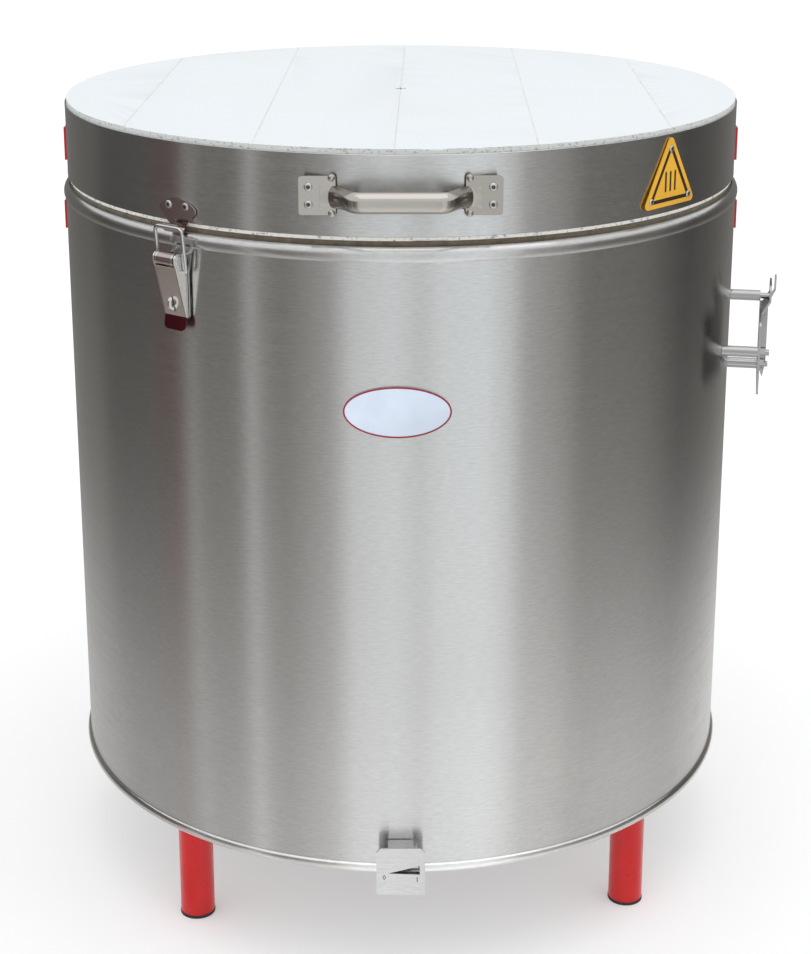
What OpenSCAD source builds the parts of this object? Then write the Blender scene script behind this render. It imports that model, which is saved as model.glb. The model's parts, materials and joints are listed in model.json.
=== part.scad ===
// Top-loading round glass kiln: a brick-lined stainless drum on four legs with a hinged brick lid.
// The kiln stands on z = 0 with its axis on Z and its front towards -Y.
// Azimuths run round Z from the front, positive towards +X.

/* [Body] */
// Outer radius of the body shell
shell_r = 342.5; // [341:0.5:345]
// Thickness of the stainless sheet
sheet = 1.2; // [1:0.1:1.5]
// Height of the floor pan's underside above the ground
pan_z = 110; // [100:1:140]
// Height of the brick lining's top above the floor pan's underside
lining_h = 616.5; // [600:0.5:640]
// How far the bead under the lid stands out of the shell
bead_proud = 4.5; // [3:0.5:6]
// How far the rolled rim of the floor pan stands out of the shell
rim_proud = 3.5; // [2:0.5:4]

/* [Lid] */
// Outer radius of the lid band
lid_r = 340; // [338:0.5:341]
// Thickness of the lid boards
lid_t = 81.5; // [76:0.5:90]
// Height of the lid band
band_h = 73; // [66:0.5:76]
// How far the boards hang below the band
board_drop = 3.6; // [2:0.1:5]
// Width of one lid board
board_w = 125; // [114:1:130]
// Gap between two lid boards, filled with cement
board_joint = 0.8; // [0.5:0.1:2]
// How far the boards lie out of square with the hinge, in degrees
board_turn = 0.9; // [0:0.1:2]
// How far the lid opens, in degrees
lid_open = 80; // [60:1:85]

/* [Lining] */
// Thickness of the fibre wrap behind the bricks
wrap_t = 24.5; // [20:0.5:30]
// Thickness of the wall and floor bricks
brick_t = 64; // [60:1:70]
// Number of brick courses in the wall
courses = 5; // [5:1:5]
// Number of bricks in one course
course_bricks = 12; // [10:2:14]
// Radius of a heating coil
coil_r = 6.5; // [5:0.5:7]

/* [Legs] */
// Radius of a leg tube
leg_r = 17.15; // [15:0.05:20]
// Distance of a leg's axis from the kiln's axis
leg_circle = 311; // [290:1:312]
// Azimuth of the front left leg
leg_az = -41.8; // [-50:0.1:-40]

/* [Latch] */
// Azimuth of the latch
latch_az = -36; // [-50:0.5:-25]
// How far the latch lever opens, in degrees
lever_open = 110; // [80:1:120]

/* [Damper] */
// Swing of the damper arm between its stops, in degrees
damper_swing = 11; // [10:1:14]
// Radius of the air hole in the floor
air_r = 13; // [10:1:15]
// Distance of the air hole from the kiln's axis
air_circle = 200; // [180:5:230]

/* [Controller holder] */
// Azimuth that the holder plate faces
holder_az = 80; // [75:1:85]
// Length of the studs between shell and holder plate
stud_l = 30; // [20:1:40]

/* [Handle] */
// Length of the straight part of the grip
grip_l = 78; // [70:1:110]
// Depth of the grip's bow in front of its end plates
grip_out = 33; // [28:1:45]

/* [Hidden] */
$fn = 96;
gap = 0.3;            // clearance between faces that only rest against each other
fit = 0.05;           // radial clearance of a turning pin
skin = 1;             // clearance between two curved shells

// heights
pan_t = 1.5;
rim_r = 5;
shell_z = pan_z + pan_t + gap;
fibre_z = pan_z + pan_t + gap;
floor_z = fibre_z + 25 + gap;
hearth_z = floor_z + brick_t;
lining_z = pan_z + lining_h;
lid_z = lining_z + gap;
band_z = lid_z + board_drop;
course_h = (lining_z - hearth_z) / courses;

// bead on the shell's upper edge: an outward bulge
bead_r = 8.5;
bead_z = pan_z + 604.4;
bead_c = shell_r + bead_proud - bead_r;

// lining radii
wrap_r = shell_r - sheet - skin;
brick_r = wrap_r - wrap_t - skin;
chamber_r = brick_r - brick_t;
wrap_step = 719 + pan_z - 110;
wrap_top_r = wrap_r - 5;

// heating coils: each course holds one, in two rows that are linked at one end;
// the tails of both rows drop to the foot of the course and leave through the wall
row_rise = course_h / 4;
groove_h = 18;
groove_d = 18;
coil_circle = chamber_r + 9;
tail_azs = [186, 190.5];
link_az = 174;
tail_rise = 10;
tail_r = 1.8;
bush_r = 4.5;
tail_end = 378;

// hinge
hinge_y = 378;
hinge_z = pan_z + 618;
hinge_pin_r = 6;
strap_t = 5;
strap_az = 88;
body_strap_z = [pan_z + 555, pan_z + 584];
lid_strap_z = [pan_z + 626.5, pan_z + 660];
ear_x = 90;
arm_x = 82.5;
lug_t = 6;
knuckle_r = 14;
tail_dir = 45;
stop_r = 5;
stop_dist = 29;
stop_dir = tail_dir - lid_open - asin((stop_r + 4 + 0.5) / stop_dist);
spring_r = 9.75;
spring_wire = 2;
spring_x = [12, 72];

// latch, in (distance from the shell, height above the pan)
lever_pivot = [14, 589];
bail_pivot = [7.5, 577];
bail_bar = [12, 617.8];
bail_tilt = atan((bail_bar[0] - bail_pivot[0]) / (bail_bar[1] - bail_pivot[1]));
bail_l = norm(bail_bar - bail_pivot);
bail_wire = 1.8;
bail_x = 16;
lever_w = 26;
lever_t = 1.5;
latch_pin_r = 2.5;

// damper
arm_y = 360;
arm_w = 46;
arm_t = 3;
arm_z = pan_z - 2.5 - arm_t;
damper_az = 0;
air_az = damper_az - damper_swing;
pivot_r = 5;

// controller holder: places across and up the plate
holder_spots = [[-7, 498], [-58, 452.6], [10, 421]];
holder_t = 2;

// handle and sign
handle_z = pan_z + 657.5;
grip_depth = 7;
grip_round = 10.6;
grip_bend = 16;
grip_slope = 75;
plate_y = lid_r - 0.5;
sign_az = 46.2;
sign_side = 77.5;
sign_z = pan_z + 626.8;
badge_z = pan_z + 461.8;

// terminal box on the back
box_w = 240;
box_y = 410;
box_z = [pan_z + 80, pan_z + 542];
box_t = 1.5;

// ---- helpers ----
// Turns a shape that was drawn at the front to an azimuth
module turn(az) { rotate([0, 0, az]) children(); }

// Ring round the kiln's axis
module ring(r_in, r_out, z0, z1) {
    translate([0, 0, z0]) difference() {
        cylinder(r = r_out, h = z1 - z0, $fn = 180);
        translate([0, 0, -1]) cylinder(r = r_in, h = z1 - z0 + 2, $fn = 180);
    }
}

// Part of such a ring, from azimuth a0 to azimuth a1
module arc_ring(r_in, r_out, z0, z1, a0, a1) {
    rotate([0, 0, a0 - 90]) rotate_extrude(angle = a1 - a0, $fn = 180)
        translate([r_in, z0]) square([r_out - r_in, z1 - z0]);
}

// Stands a flat shape drawn as (x, z) upright, t thick towards -Y
module upright(t) { rotate([90, 0, 0]) linear_extrude(t) children(); }

// Stands a flat shape drawn as (y, z) across X, centred and t thick
module sideways(t) { rotate([90, 0, 90]) linear_extrude(t, center = true) children(); }

// Rod along X
module rod_x(r, l) { rotate([0, 90, 0]) cylinder(r = r, h = l, center = true, $fn = 48); }

// Rod that starts at the surface y = 0 and runs l towards -Y
module rod_out(r, l) { rotate([90, 0, 0]) cylinder(r = r, h = l, $fn = 36); }

// Domed rivet head with a hollow mandrel, facing -Y
module pop_rivet(r, h) {
    difference() {
        rod_out(r, h);
        translate([0, -h + 0.6, 0]) rod_out(r * 0.42, h);
    }
    translate([0, 2, 0]) rod_out(r * 0.5, 2.5);
}

// Hole for the shank of a pop rivet of head radius r
module rivet_hole(r) { translate([0, 8, 0]) rod_out(r * 0.5 + 0.02, 9); }

module rounded(w, h, r) {
    translate([r - w / 2, 0]) square([w - 2 * r, h]);
    translate([-w / 2, r]) square([w, h - 2 * r]);
    for (x = [r - w / 2, w / 2 - r], z = [r, h - r]) translate([x, z]) circle(r, $fn = 32);
}

// ---- body ----
module shell() {
    color("silver") difference() {
        union() {
            ring(shell_r - sheet, shell_r, shell_z, bead_z - 7.4);
            rotate_extrude($fn = 180) difference() {
                translate([bead_c, bead_z]) circle(bead_r, $fn = 64);
                translate([bead_c, bead_z]) circle(bead_r - sheet, $fn = 64);
                translate([0, bead_z - bead_r - 1])
                    square([shell_r - sheet, 2 * bead_r + 2]);
            }
        }
        for (i = [1 : courses], a = tail_azs) tail_path(i, a) cylinder(r = bush_r + 0.5, h = 120);
        couple_path() cylinder(r = 7, h = 120);
    }
}

module floor_pan() {
    color("silver") difference() {
        union() {
            translate([0, 0, pan_z]) cylinder(r = shell_r, h = pan_t, $fn = 180);
            rotate_extrude($fn = 180) difference() {
                translate([shell_r + rim_proud - rim_r, pan_z + rim_r]) circle(rim_r, $fn = 48);
                translate([0, pan_z + pan_t]) square([shell_r + gap, 20]);
            }
        }
        air_hole(pan_z - 1, 5);
        for (k = [0 : 3]) leg_holes(k) translate([0, 0, pan_z - 1]) cylinder(r = 4.2, h = 5);
        translate([0, 0, pan_z - 1]) cylinder(r = pivot_r + fit, h = 5);
    }
}

module air_hole(z, h) {
    turn(air_az) translate([0, -air_circle, z]) cylinder(r = air_r, h = h);
}

module fibre_wrap() {
    color("white") difference() {
        union() {
            ring(brick_r + skin, wrap_r, floor_z, wrap_step);
            ring(brick_r + skin, wrap_top_r, wrap_step, lining_z - 0.5);
        }
        for (i = [1 : courses], a = tail_azs) tail_path(i, a) cylinder(r = bush_r + 0.5, h = 120);
        couple_path() cylinder(r = 7, h = 120);
    }
}

module floor_fibre() {
    color("white") difference() {
        translate([0, 0, fibre_z]) cylinder(r = wrap_r, h = 25, $fn = 180);
        air_hole(fibre_z - 1, 30);
        for (k = [0 : 3]) leg_holes(k) translate([0, 0, fibre_z - 1]) cylinder(r = 9, h = 12);
        translate([0, 0, fibre_z - 1]) cylinder(r = 12, h = 12);
    }
}

module floor_bricks() {
    strip = 2 * brick_r / 5;
    color("white") difference() {
        for (i = [0 : 4]) intersection() {
            translate([0, 0, floor_z]) cylinder(r = brick_r, h = brick_t - gap, $fn = 180);
            translate([-brick_r + i * strip + 0.4, -brick_r, floor_z])
                cube([strip - 0.8, 2 * brick_r, brick_t]);
        }
        air_hole(floor_z - 1, brick_t + 2);
    }
}

// ---- wall bricks and coils ----
function course_z(i) = hearth_z + (i - 1) * course_h;
function row_z(i, s) = course_z(i) + course_h / 2 + s * row_rise;

couple_z = course_z(3) + course_h / 2;

// Radial line at azimuth a that a tail of coil i takes out to the terminal box
module tail_path(i, a) {
    turn(a) translate([0, -coil_circle, course_z(i) + tail_rise]) rotate([90, 0, 0]) children();
}

// Radial line of the thermocouple, from the chamber's wall outwards
module couple_path() {
    turn(180) translate([0, -chamber_r, couple_z]) rotate([90, 0, 0]) children();
}

// Upright slot in the bricks' inner face
module wall_slot(a, z0, z1) {
    turn(a) translate([-4, -chamber_r - groove_d, z0]) cube([8, groove_d + 4, z1 - z0]);
}

// Ring of bricks with flat faces towards the chamber
module brick_course(i) {
    color("ivory") difference() {
        for (k = [0 : course_bricks - 1])
            arc_ring(chamber_r - 5, brick_r, course_z(i), course_z(i) + course_h - gap,
                k * 360 / course_bricks + 0.08, (k + 1) * 360 / course_bricks - 0.08);
        translate([0, 0, course_z(i) - 1])
            cylinder(r = chamber_r / cos(180 / course_bricks), h = course_h + 2, $fn = course_bricks);
        for (s = [-1, 1])
            ring(chamber_r - 5, chamber_r + groove_d, row_z(i, s) - groove_h / 2, row_z(i, s) + groove_h / 2);
        wall_slot(link_az, row_z(i, -1), row_z(i, 1));
        for (a = tail_azs) {
            wall_slot(a, course_z(i) + tail_rise - 6, row_z(i, a == tail_azs[0] ? 1 : -1));
            tail_path(i, a) cylinder(r = bush_r + 0.5, h = 120);
        }
        if (i == 3) couple_path() translate([0, 0, -5]) cylinder(r = 5.5, h = 120);
    }
}

module heating_coil(i) {
    color("dimgray") {
        for (s = [-1, 1], a = [tail_azs[s > 0 ? 0 : 1]]) {
            rotate([0, 0, a - 0.5 - 90]) rotate_extrude(angle = 361 - a + link_az, $fn = 180)
                translate([coil_circle, row_z(i, s)]) circle(coil_r, $fn = 32);
            turn(a) translate([0, -coil_circle, course_z(i) + tail_rise - 3])
                cylinder(r = tail_r + 0.3, h = row_z(i, s) - course_z(i) - tail_rise + 3, $fn = 24);
            tail_path(i, a) cylinder(r = tail_r, h = tail_end - coil_circle, $fn = 24);
        }
        turn(link_az) translate([0, -coil_circle, row_z(i, -1)])
            cylinder(r = tail_r, h = 2 * row_rise, $fn = 24);
    }
}

module coil_bushes() {
    start = 22;
    color("white") for (i = [1 : courses], a = tail_azs) tail_path(i, a)
        translate([0, 0, start]) difference() {
            cylinder(r = bush_r, h = shell_r + 10 - coil_circle - start, $fn = 36);
            translate([0, 0, -1]) cylinder(r = tail_r + 0.3, h = 200, $fn = 36);
        }
}

module thermocouple() {
    head = shell_r - chamber_r + 12;
    color("wheat") couple_path() {
        translate([0, 0, -22]) cylinder(r = 4, h = head + 22);
        translate([0, 0, head - 8]) cylinder(r = 14, h = 22);
    }
}

// ---- legs ----
function leg_name_az(k) = leg_az + 90 * k;

module leg_holes(k) {
    turn(leg_name_az(k)) for (x = [-24, 24], y = [-12, 12])
        translate([x, -leg_circle + y + 8, 0]) children();
}

module leg(k) {
    color("firebrick") difference() {
        turn(leg_name_az(k)) translate([0, -leg_circle, 0]) {
            translate([0, 0, 3]) cylinder(r = leg_r, h = pan_z - 7 - gap);
            translate([-32, -20, pan_z - 4 - gap]) cube([64, 56, 4]);
        }
        turn(leg_name_az(k)) translate([0, -leg_circle, 2]) cylinder(r = leg_r - 2.6, h = pan_z - 8);
        leg_holes(k) translate([0, 0, pan_z - 10]) cylinder(r = 4.2, h = 20);
    }
}

module foot_caps() {
    color("black") for (k = [0 : 3]) turn(leg_name_az(k)) translate([0, -leg_circle, 0]) {
        difference() {
            cylinder(r = leg_r + 1.3, h = 7);
            translate([0, 0, 2.7]) cylinder(r = leg_r + 0.1, h = 10);
        }
        cylinder(r = leg_r - 2.9, h = 16);
    }
}

module leg_bolts() {
    color("silver") for (k = [0 : 3]) leg_holes(k) {
        translate([0, 0, pan_z - 4 - gap - 5]) cylinder(r = 6.5, h = 5, $fn = 6);
        translate([0, 0, pan_z - 5]) cylinder(r = 4, h = 8);
        translate([0, 0, pan_z + pan_t]) cylinder(r = 6.5, h = 5, $fn = 6);
    }
}

// ---- terminal box ----
module terminal_box() {
    h = box_z[1] - box_z[0];
    color("silver") difference() {
        translate([-box_w / 2, 300, box_z[0]]) cube([box_w, box_y - 300, h]);
        translate([box_t - box_w / 2, 200, box_z[0] + box_t])
            cube([box_w - 2 * box_t, box_y - 200 + 1, h - 2 * box_t]);
        cylinder(r = shell_r + gap, h = 900, $fn = 180);
        translate([gland_x, gland_y, box_z[0] - 1]) cylinder(r = gland_r + 0.1, h = 5);
    }
    color("silver") for (p = cover_screw_spots) translate([p[0], box_y - 9, p[1]])
        rotate([-90, 0, 0]) difference() {
            cylinder(r = 4, h = 9 - gap, $fn = 32);
            cylinder(r = 2.1, h = 12, $fn = 32);
        }
}
cover_screw_spots = [for (x = [-1, 1], z = [box_z[0] + 7, (box_z[0] + box_z[1]) / 2, box_z[1] - 7])
    [x * (box_w / 2 - 5.2), z]];

module terminal_cover() {
    h = box_z[1] - box_z[0];
    color("silver") difference() {
        translate([-box_w / 2, box_y, box_z[0]]) cube([box_w, box_t, h]);
        for (p = cover_screw_spots) translate([p[0], box_y + 5, p[1]]) rod_out(2.2, 10);
        for (x = [-55, 55], z = [box_z[0] + 60, box_z[1] - 115], k = [0 : 5])
            translate([x - 35, box_y - 1, z + 11 * k]) cube([70, 5, 3.5]);
    }
}

module cover_screws() {
    color("silver") for (p = cover_screw_spots) translate([p[0], box_y + box_t, p[1]])
        rotate([-90, 0, 0]) {
            difference() {
                cylinder(r = 3.8, h = 2.2, $fn = 36);
                translate([-3, -0.5, 1.2]) cube([6, 1, 2]);
                translate([-0.5, -3, 1.2]) cube([1, 6, 2]);
            }
            translate([0, 0, -9]) cylinder(r = 2, h = 9, $fn = 36);
        }
}

// One two-pole ceramic terminal for each coil, on the ends of its tails
module terminal_block() {
    mid_az = (tail_azs[0] + tail_azs[1]) / 2;
    color("white") for (i = [1 : courses]) difference() {
        turn(mid_az) translate([-27, -tail_end - 10, course_z(i) + tail_rise - 10]) cube([54, 20, 20]);
        for (a = tail_azs) {
            tail_path(i, a) cylinder(r = tail_r + 0.4, h = tail_end + 1 - coil_circle, $fn = 24);
            turn(a) translate([-5, -tail_end - 20, course_z(i) + tail_rise - 5]) cube([10, 14, 10]);
        }
    }
}

gland_x = 75;
gland_y = 376;
gland_r = 10;
gland_bore = 6.5;
module cable_gland() {
    color("dimgray") translate([gland_x, gland_y, 0]) difference() {
        union() {
            translate([0, 0, box_z[0] - 6]) cylinder(r = 14, h = 6, $fn = 6);
            translate([0, 0, box_z[0] - 22]) cylinder(r = 12, h = 16);
            translate([0, 0, box_z[0] - 1]) cylinder(r = gland_r, h = 12);
            translate([0, 0, box_z[0] + box_t + gap]) cylinder(r = 14, h = 5, $fn = 6);
        }
        translate([0, 0, box_z[0] - 30]) cylinder(r = gland_bore, h = 60);
    }
}

// ---- hinge ----
module strap(r, zz) {
    arc_ring(r + 0.4, r + 0.4 + strap_t, zz[0], zz[1], strap_az, 360 - strap_az);
}

module body_strap() {
    out = shell_r + 0.4 + strap_t / 2;
    y0 = sqrt(out * out - (ear_x + lug_t) * (ear_x + lug_t));
    color("firebrick") {
        difference() {
            strap(shell_r, body_strap_z);
            at_strap_rivets(shell_r, body_strap_z, body_strap_azs) rivet_hole(5);
        }
        for (s = [-1, 1]) translate([s * ear_x, 0, 0]) difference() {
            sideways(lug_t) {
                polygon([[y0, body_strap_z[0]], [y0 + 30, body_strap_z[0]],
                    stop_spot() + [stop_r + 3, -3], [hinge_y + knuckle_r, hinge_z],
                    [hinge_y - knuckle_r, hinge_z], [y0 + 14, body_strap_z[1]], [y0, body_strap_z[1]]]);
                translate([hinge_y, hinge_z]) circle(knuckle_r);
                translate(stop_spot()) circle(stop_r + 4);
            }
            translate([0, hinge_y, hinge_z]) rod_x(hinge_pin_r + 0.02, 20);
            translate([0, stop_spot()[0], stop_spot()[1]]) rod_x(stop_r + 0.02, 20);
        }
    }
}
function stop_spot() = [hinge_y + stop_dist * cos(stop_dir), hinge_z + stop_dist * sin(stop_dir)];

// Places of the rivets in a strap on radius r, at azimuths azs on both sides of the back
module at_strap_rivets(r, z, azs) {
    for (a = azs, s = [-1, 1]) turn(180 + s * a)
        translate([0, -r - 0.4 - strap_t, (z[0] + z[1]) / 2]) children();
}
body_strap_azs = [24, 46, 68];
lid_strap_azs = [24, 42, 68];

module body_strap_rivets() {
    color("silver") at_strap_rivets(shell_r, body_strap_z, body_strap_azs) pop_rivet(5, 2.4);
}

module lid_strap_rivets() {
    color("silver") at_strap_rivets(lid_r, lid_strap_z, lid_strap_azs) pop_rivet(5, 2.4);
}

module hinge_pin() {
    color("silver") translate([0, hinge_y, hinge_z]) difference() {
        rod_x(hinge_pin_r, 2 * ear_x + 26);
        for (s = [-1, 1]) translate([s * (ear_x + 7), 0, 0]) difference() {
            rod_x(hinge_pin_r + 1, 1.4);
            rod_x(hinge_pin_r - 1, 2);
        }
    }
}

module hinge_clips() {
    color("dimgray") for (s = [-1, 1]) translate([s * (ear_x + 7), hinge_y, hinge_z]) difference() {
        rod_x(hinge_pin_r + 3.5, 1.1);
        rod_x(hinge_pin_r - 1 + fit, 3);
        translate([-2, -2.5, -20]) cube([4, 5, 20]);
    }
}

module hinge_stop_bar() {
    color("firebrick") translate([0, stop_spot()[0], stop_spot()[1]]) rod_x(stop_r, 2 * ear_x + 14);
}

module spring_coils() {
    mid = (spring_x[0] + spring_x[1]) / 2;
    color("dimgray") for (s = [-1, 1]) {
        translate([s * mid, hinge_y, hinge_z]) difference() {
            rod_x(spring_r + spring_wire, spring_x[1] - spring_x[0]);
            rod_x(spring_r - spring_wire, 100);
        }
        translate([s * (spring_x[0] + spring_wire + 0.2), hinge_y + spring_r, hinge_z - 32])
            cylinder(r = spring_wire - 0.1, h = 32, $fn = 32);
    }
}

module spring_lid_legs() {
    color("dimgray") for (s = [-1, 1]) translate([s * (spring_x[1] + 2.3), hinge_y, hinge_z]) {
        difference() {
            rod_x(spring_r + spring_wire, 2 * spring_wire);
            rod_x(spring_r - spring_wire, 10);
        }
        translate([0, -spring_r, 0]) cylinder(r = spring_wire - 0.1, h = 36, $fn = 32);
    }
}

// Places a shape drawn as (across, -out, up) at an azimuth on a surface of radius r
module on_wall(az, r) { turn(az) translate([0, -r, 0]) children(); }

module lid_sensor() {
    color("black") on_wall(120, shell_r + 0.8 + strap_t) {
        translate([-13, -14, pan_z + 578]) cube([26, 13.6, 34]);
        translate([0, -7, pan_z + 570]) cylinder(r = 4, h = 8, $fn = 36);
    }
}

module lid_magnet() {
    color("black") on_wall(120, lid_r + 0.8 + strap_t)
        translate([-13, -13, pan_z + 620]) cube([26, 12.6, 30]);
}

// ---- lid ----
module lid_band() {
    color("silver") ring(lid_r - sheet, lid_r, band_z, band_z + band_h);
}

module lid_boards() {
    r = lid_r - sheet - 0.4;
    color("white") rotate([0, 0, -board_turn]) for (i = [-3 : 2]) intersection() {
        translate([0, 0, lid_z]) cylinder(r = r, h = lid_t, $fn = 180);
        translate([i * board_w + board_joint / 2, -r, lid_z])
            cube([board_w - board_joint, 2 * r, lid_t]);
    }
}

module lid_strap() {
    out = lid_r + 0.4 + strap_t / 2;
    y0 = sqrt(out * out - (arm_x + lug_t / 2) * (arm_x + lug_t / 2));
    leg_y = hinge_y - spring_r + spring_wire;
    color("firebrick") {
        difference() {
            strap(lid_r, lid_strap_z);
            at_strap_rivets(lid_r, lid_strap_z, lid_strap_azs) rivet_hole(5);
        }
        for (s = [-1, 1]) translate([s * arm_x, 0, 0]) difference() {
            sideways(lug_t) {
                polygon([[y0, lid_strap_z[0]], [hinge_y - knuckle_r + 1, hinge_z - 3],
                    [hinge_y + knuckle_r - 1, hinge_z + 4], [hinge_y + 2, lid_strap_z[1] - 4],
                    [y0, lid_strap_z[1]]]);
                translate([hinge_y, hinge_z]) circle(knuckle_r);
                translate([hinge_y, hinge_z]) rotate(tail_dir) translate([0, -4]) square([stop_dist + 5, 8]);
            }
            translate([0, hinge_y, hinge_z]) rod_x(hinge_pin_r + fit, 20);
        }
        translate([-arm_x, leg_y + gap, hinge_z + 19]) cube([2 * arm_x, 4, 18]);
    }
}

// Crowned section of the grip, its crown at 0 and its flat side towards +Y
module grip_section() {
    intersection() {
        translate([grip_round, 0]) circle(grip_round, $fn = 64);
        translate([0, -12]) square([grip_depth, 24]);
    }
}

// Straight front, a bend at each end and a sloping leg down to each end plate
module grip() {
    front = plate_y + grip_out;
    leg_l = (grip_out - grip_bend * (1 - cos(grip_slope))) / sin(grip_slope) + 3;
    translate([0, -front, handle_z]) sideways(grip_l) grip_section();
    for (s = [0, 1]) mirror([s, 0, 0]) translate([grip_l / 2, -front + grip_bend, handle_z]) {
        rotate([0, 0, -90]) rotate_extrude(angle = grip_slope, $fn = 96)
            translate([grip_bend, 0]) mirror([1, 0]) grip_section();
        rotate([0, 0, grip_slope]) translate([leg_l / 2, -grip_bend, 0]) sideways(leg_l) grip_section();
    }
}

module lid_handle() {
    color("silver") difference() {
        union() {
            grip();
            for (s = [0, 1]) mirror([s, 0, 0]) translate([72.2, 0, handle_z - 17.2]) handle_plate();
        }
        cylinder(r = lid_r + 0.3, h = 900, $fn = 180);
        at_handle_rivets() rivet_hole(3.9);
    }
}

module at_handle_rivets() {
    for (s = [-1, 1], z = [-7.7, 7.7]) translate([s * 80, -plate_y, handle_z + z]) children();
}

module handle_plate() {
    w = 32.5;
    h = 34.5;
    translate([0, -plate_y + 1.5, 0]) upright(1.5) rounded(w, h, 2.5);
    translate([-w / 2 + 2, -plate_y, 0]) cube([w - 2, 14, 1.5]);
    translate([-w / 2 + 2, -plate_y, h - 1.5]) cube([w - 2, 14, 1.5]);
    translate([w / 2 - 1.5, -plate_y, 2]) cube([1.5, 16, h - 4]);
}

// Four rivets of the handle and two of the latch catch
module lid_pop_rivets() {
    color("silver") {
        at_handle_rivets() translate([0, -0.02, 0]) pop_rivet(3.9, 1.6);
        at_latch() for (s = [-1, 1]) translate([s * 10, 0.68, 635.3]) pop_rivet(3.8, 1.5);
    }
}

module heat_sign() {
    h = sign_side * sqrt(3) / 2;
    r = 4;
    color("gold") on_wall(sign_az, lid_r + 0.4) difference() {
        translate([0, 0, sign_z]) upright(1.5) offset(r = r, $fn = 32)
            polygon([[-sign_side / 2 + r * sqrt(3), r], [sign_side / 2 - r * sqrt(3), r], [0, h - 2 * r]]);
        for (p = sign_spots) translate([p[0], 1, sign_z + p[1]]) rod_out(1.7, 4);
    }
}
sign_spots = [[0, 52.9], [-28, 7.2], [28, 7.2]];

module sign_rivets() {
    color("silver") on_wall(sign_az, lid_r + 1.92) for (p = sign_spots)
        translate([p[0], 0, sign_z + p[1]]) {
            rod_out(3.2, 1.5);
            translate([0, 1.5, 0]) rod_out(1.6, 2);
        }
}

module oval_badge() {
    color("white") turn(-0.5) intersection() {
        ring(shell_r + 0.3, shell_r + 1.5, badge_z - 30, badge_z + 30);
        translate([0, -shell_r + 20, badge_z]) upright(30)
            polygon([for (a = [0 : 5 : 355]) [48.6 * cos(a), 23.8 * sin(a)]]);
    }
}

// ---- latch, drawn as (across, -out, up) ----
module at_latch() { on_wall(latch_az, shell_r) translate([0, 0, pan_z]) children(); }

// Stands a flat shape drawn as (out, up) across the latch
module latch_side(t) { mirror([0, 1, 0]) sideways(t) children(); }

module latch_base() {
    color("silver") at_latch() {
        difference() {
            translate([0, -0.4, 531]) upright(1.6) rounded(lever_w - 2 * lever_t - 1, 61, 3);
            for (z = [556, 568]) translate([0, 1, z]) rod_out(1.7, 5);
        }
        for (s = [-1, 1]) translate([s * 9.6, 0, 0]) difference() {
            latch_side(2) {
                polygon([[1, 575], [1, 591.5], [14, 595], [14, 583]]);
                translate(lever_pivot) circle(6);
            }
            translate([0, -lever_pivot[0], lever_pivot[1]]) rod_x(latch_pin_r + 0.02, 10);
        }
    }
}

module latch_base_rivets() {
    color("silver") at_latch() for (z = [556, 568]) translate([0, -2.02, z]) {
        rod_out(3, 1.2);
        translate([0, 1.9, 0]) rod_out(1.6, 2);
    }
}

module latch_barrel() {
    color("silver") at_latch() translate([0, -lever_pivot[0], lever_pivot[1]]) difference() {
        rod_x(5.9, 16.8);
        rod_x(latch_pin_r + fit, 20);
    }
}

module latch_pin() {
    color("silver") at_latch() translate([0, -lever_pivot[0], lever_pivot[1]]) {
        rod_x(latch_pin_r, lever_w + 1);
        for (s = [-1, 1]) translate([s * (lever_w / 2 + 0.6), 0, 0]) rod_x(3.6, 0.9);
    }
}

module latch_staple() {
    color("silver") at_latch() latch_side(2) {
        difference() {
            union() {
                translate([8.5, 547]) circle(6.5);
                translate([2.1, 544]) square([6, 6]);
            }
            translate([8.5, 547]) circle(4);
        }
    }
}

module latch_lever() {
    color("silver") at_latch() difference() {
        union() {
            for (s = [-1, 1]) translate([s * (lever_w - lever_t) / 2, 0, 0]) latch_side(lever_t) {
                polygon([[20, 589], [18, 582.5], [5.6, 534.5], [4.2, 534.5], [4.2, 572], [8.3, 590.9]]);
                translate(lever_pivot) circle(6);
            }
            latch_side(lever_w) polygon([[18, 582.5], [5.6, 534.5], [4.1, 534.5], [16.5, 582.5]]);
            intersection() {
                latch_side(lever_w) polygon([[5.6, 534.5], [8, 519.5], [6.5, 519.2], [4.1, 534.5]]);
                translate([0, 0, 519]) upright(20) rounded(lever_w, 40, 6);
            }
        }
        translate([0, -lever_pivot[0], lever_pivot[1]]) rod_x(latch_pin_r + fit, 60);
        translate([0, -bail_pivot[0], bail_pivot[1]]) rod_x(bail_wire + fit, 60);
        translate([-1.7, -20, 538.5]) cube([3.4, 20, 15.5]);
    }
}

module latch_bail() {
    bend = 5;
    color("silver") at_latch() translate([0, -bail_pivot[0], bail_pivot[1]]) rotate([bail_tilt, 0, 0]) {
        for (s = [-1, 1]) {
            translate([s * bail_x, 0, 0]) cylinder(r = bail_wire, h = bail_l - bend, $fn = 32);
            translate([s * bail_x, 0, 0]) sphere(bail_wire, $fn = 32);
            translate([s * (bail_x + 11) / 2, 0, 0]) rod_x(bail_wire, bail_x - 11);
        }
        for (s = [0, 1]) mirror([s, 0, 0]) translate([bail_x - bend, 0, bail_l - bend])
            rotate([90, 0, 0]) rotate_extrude(angle = 90, $fn = 64)
                translate([bend, 0]) circle(bail_wire, $fn = 32);
        translate([0, 0, bail_l]) rod_x(bail_wire, 2 * (bail_x - bend));
    }
}

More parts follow.
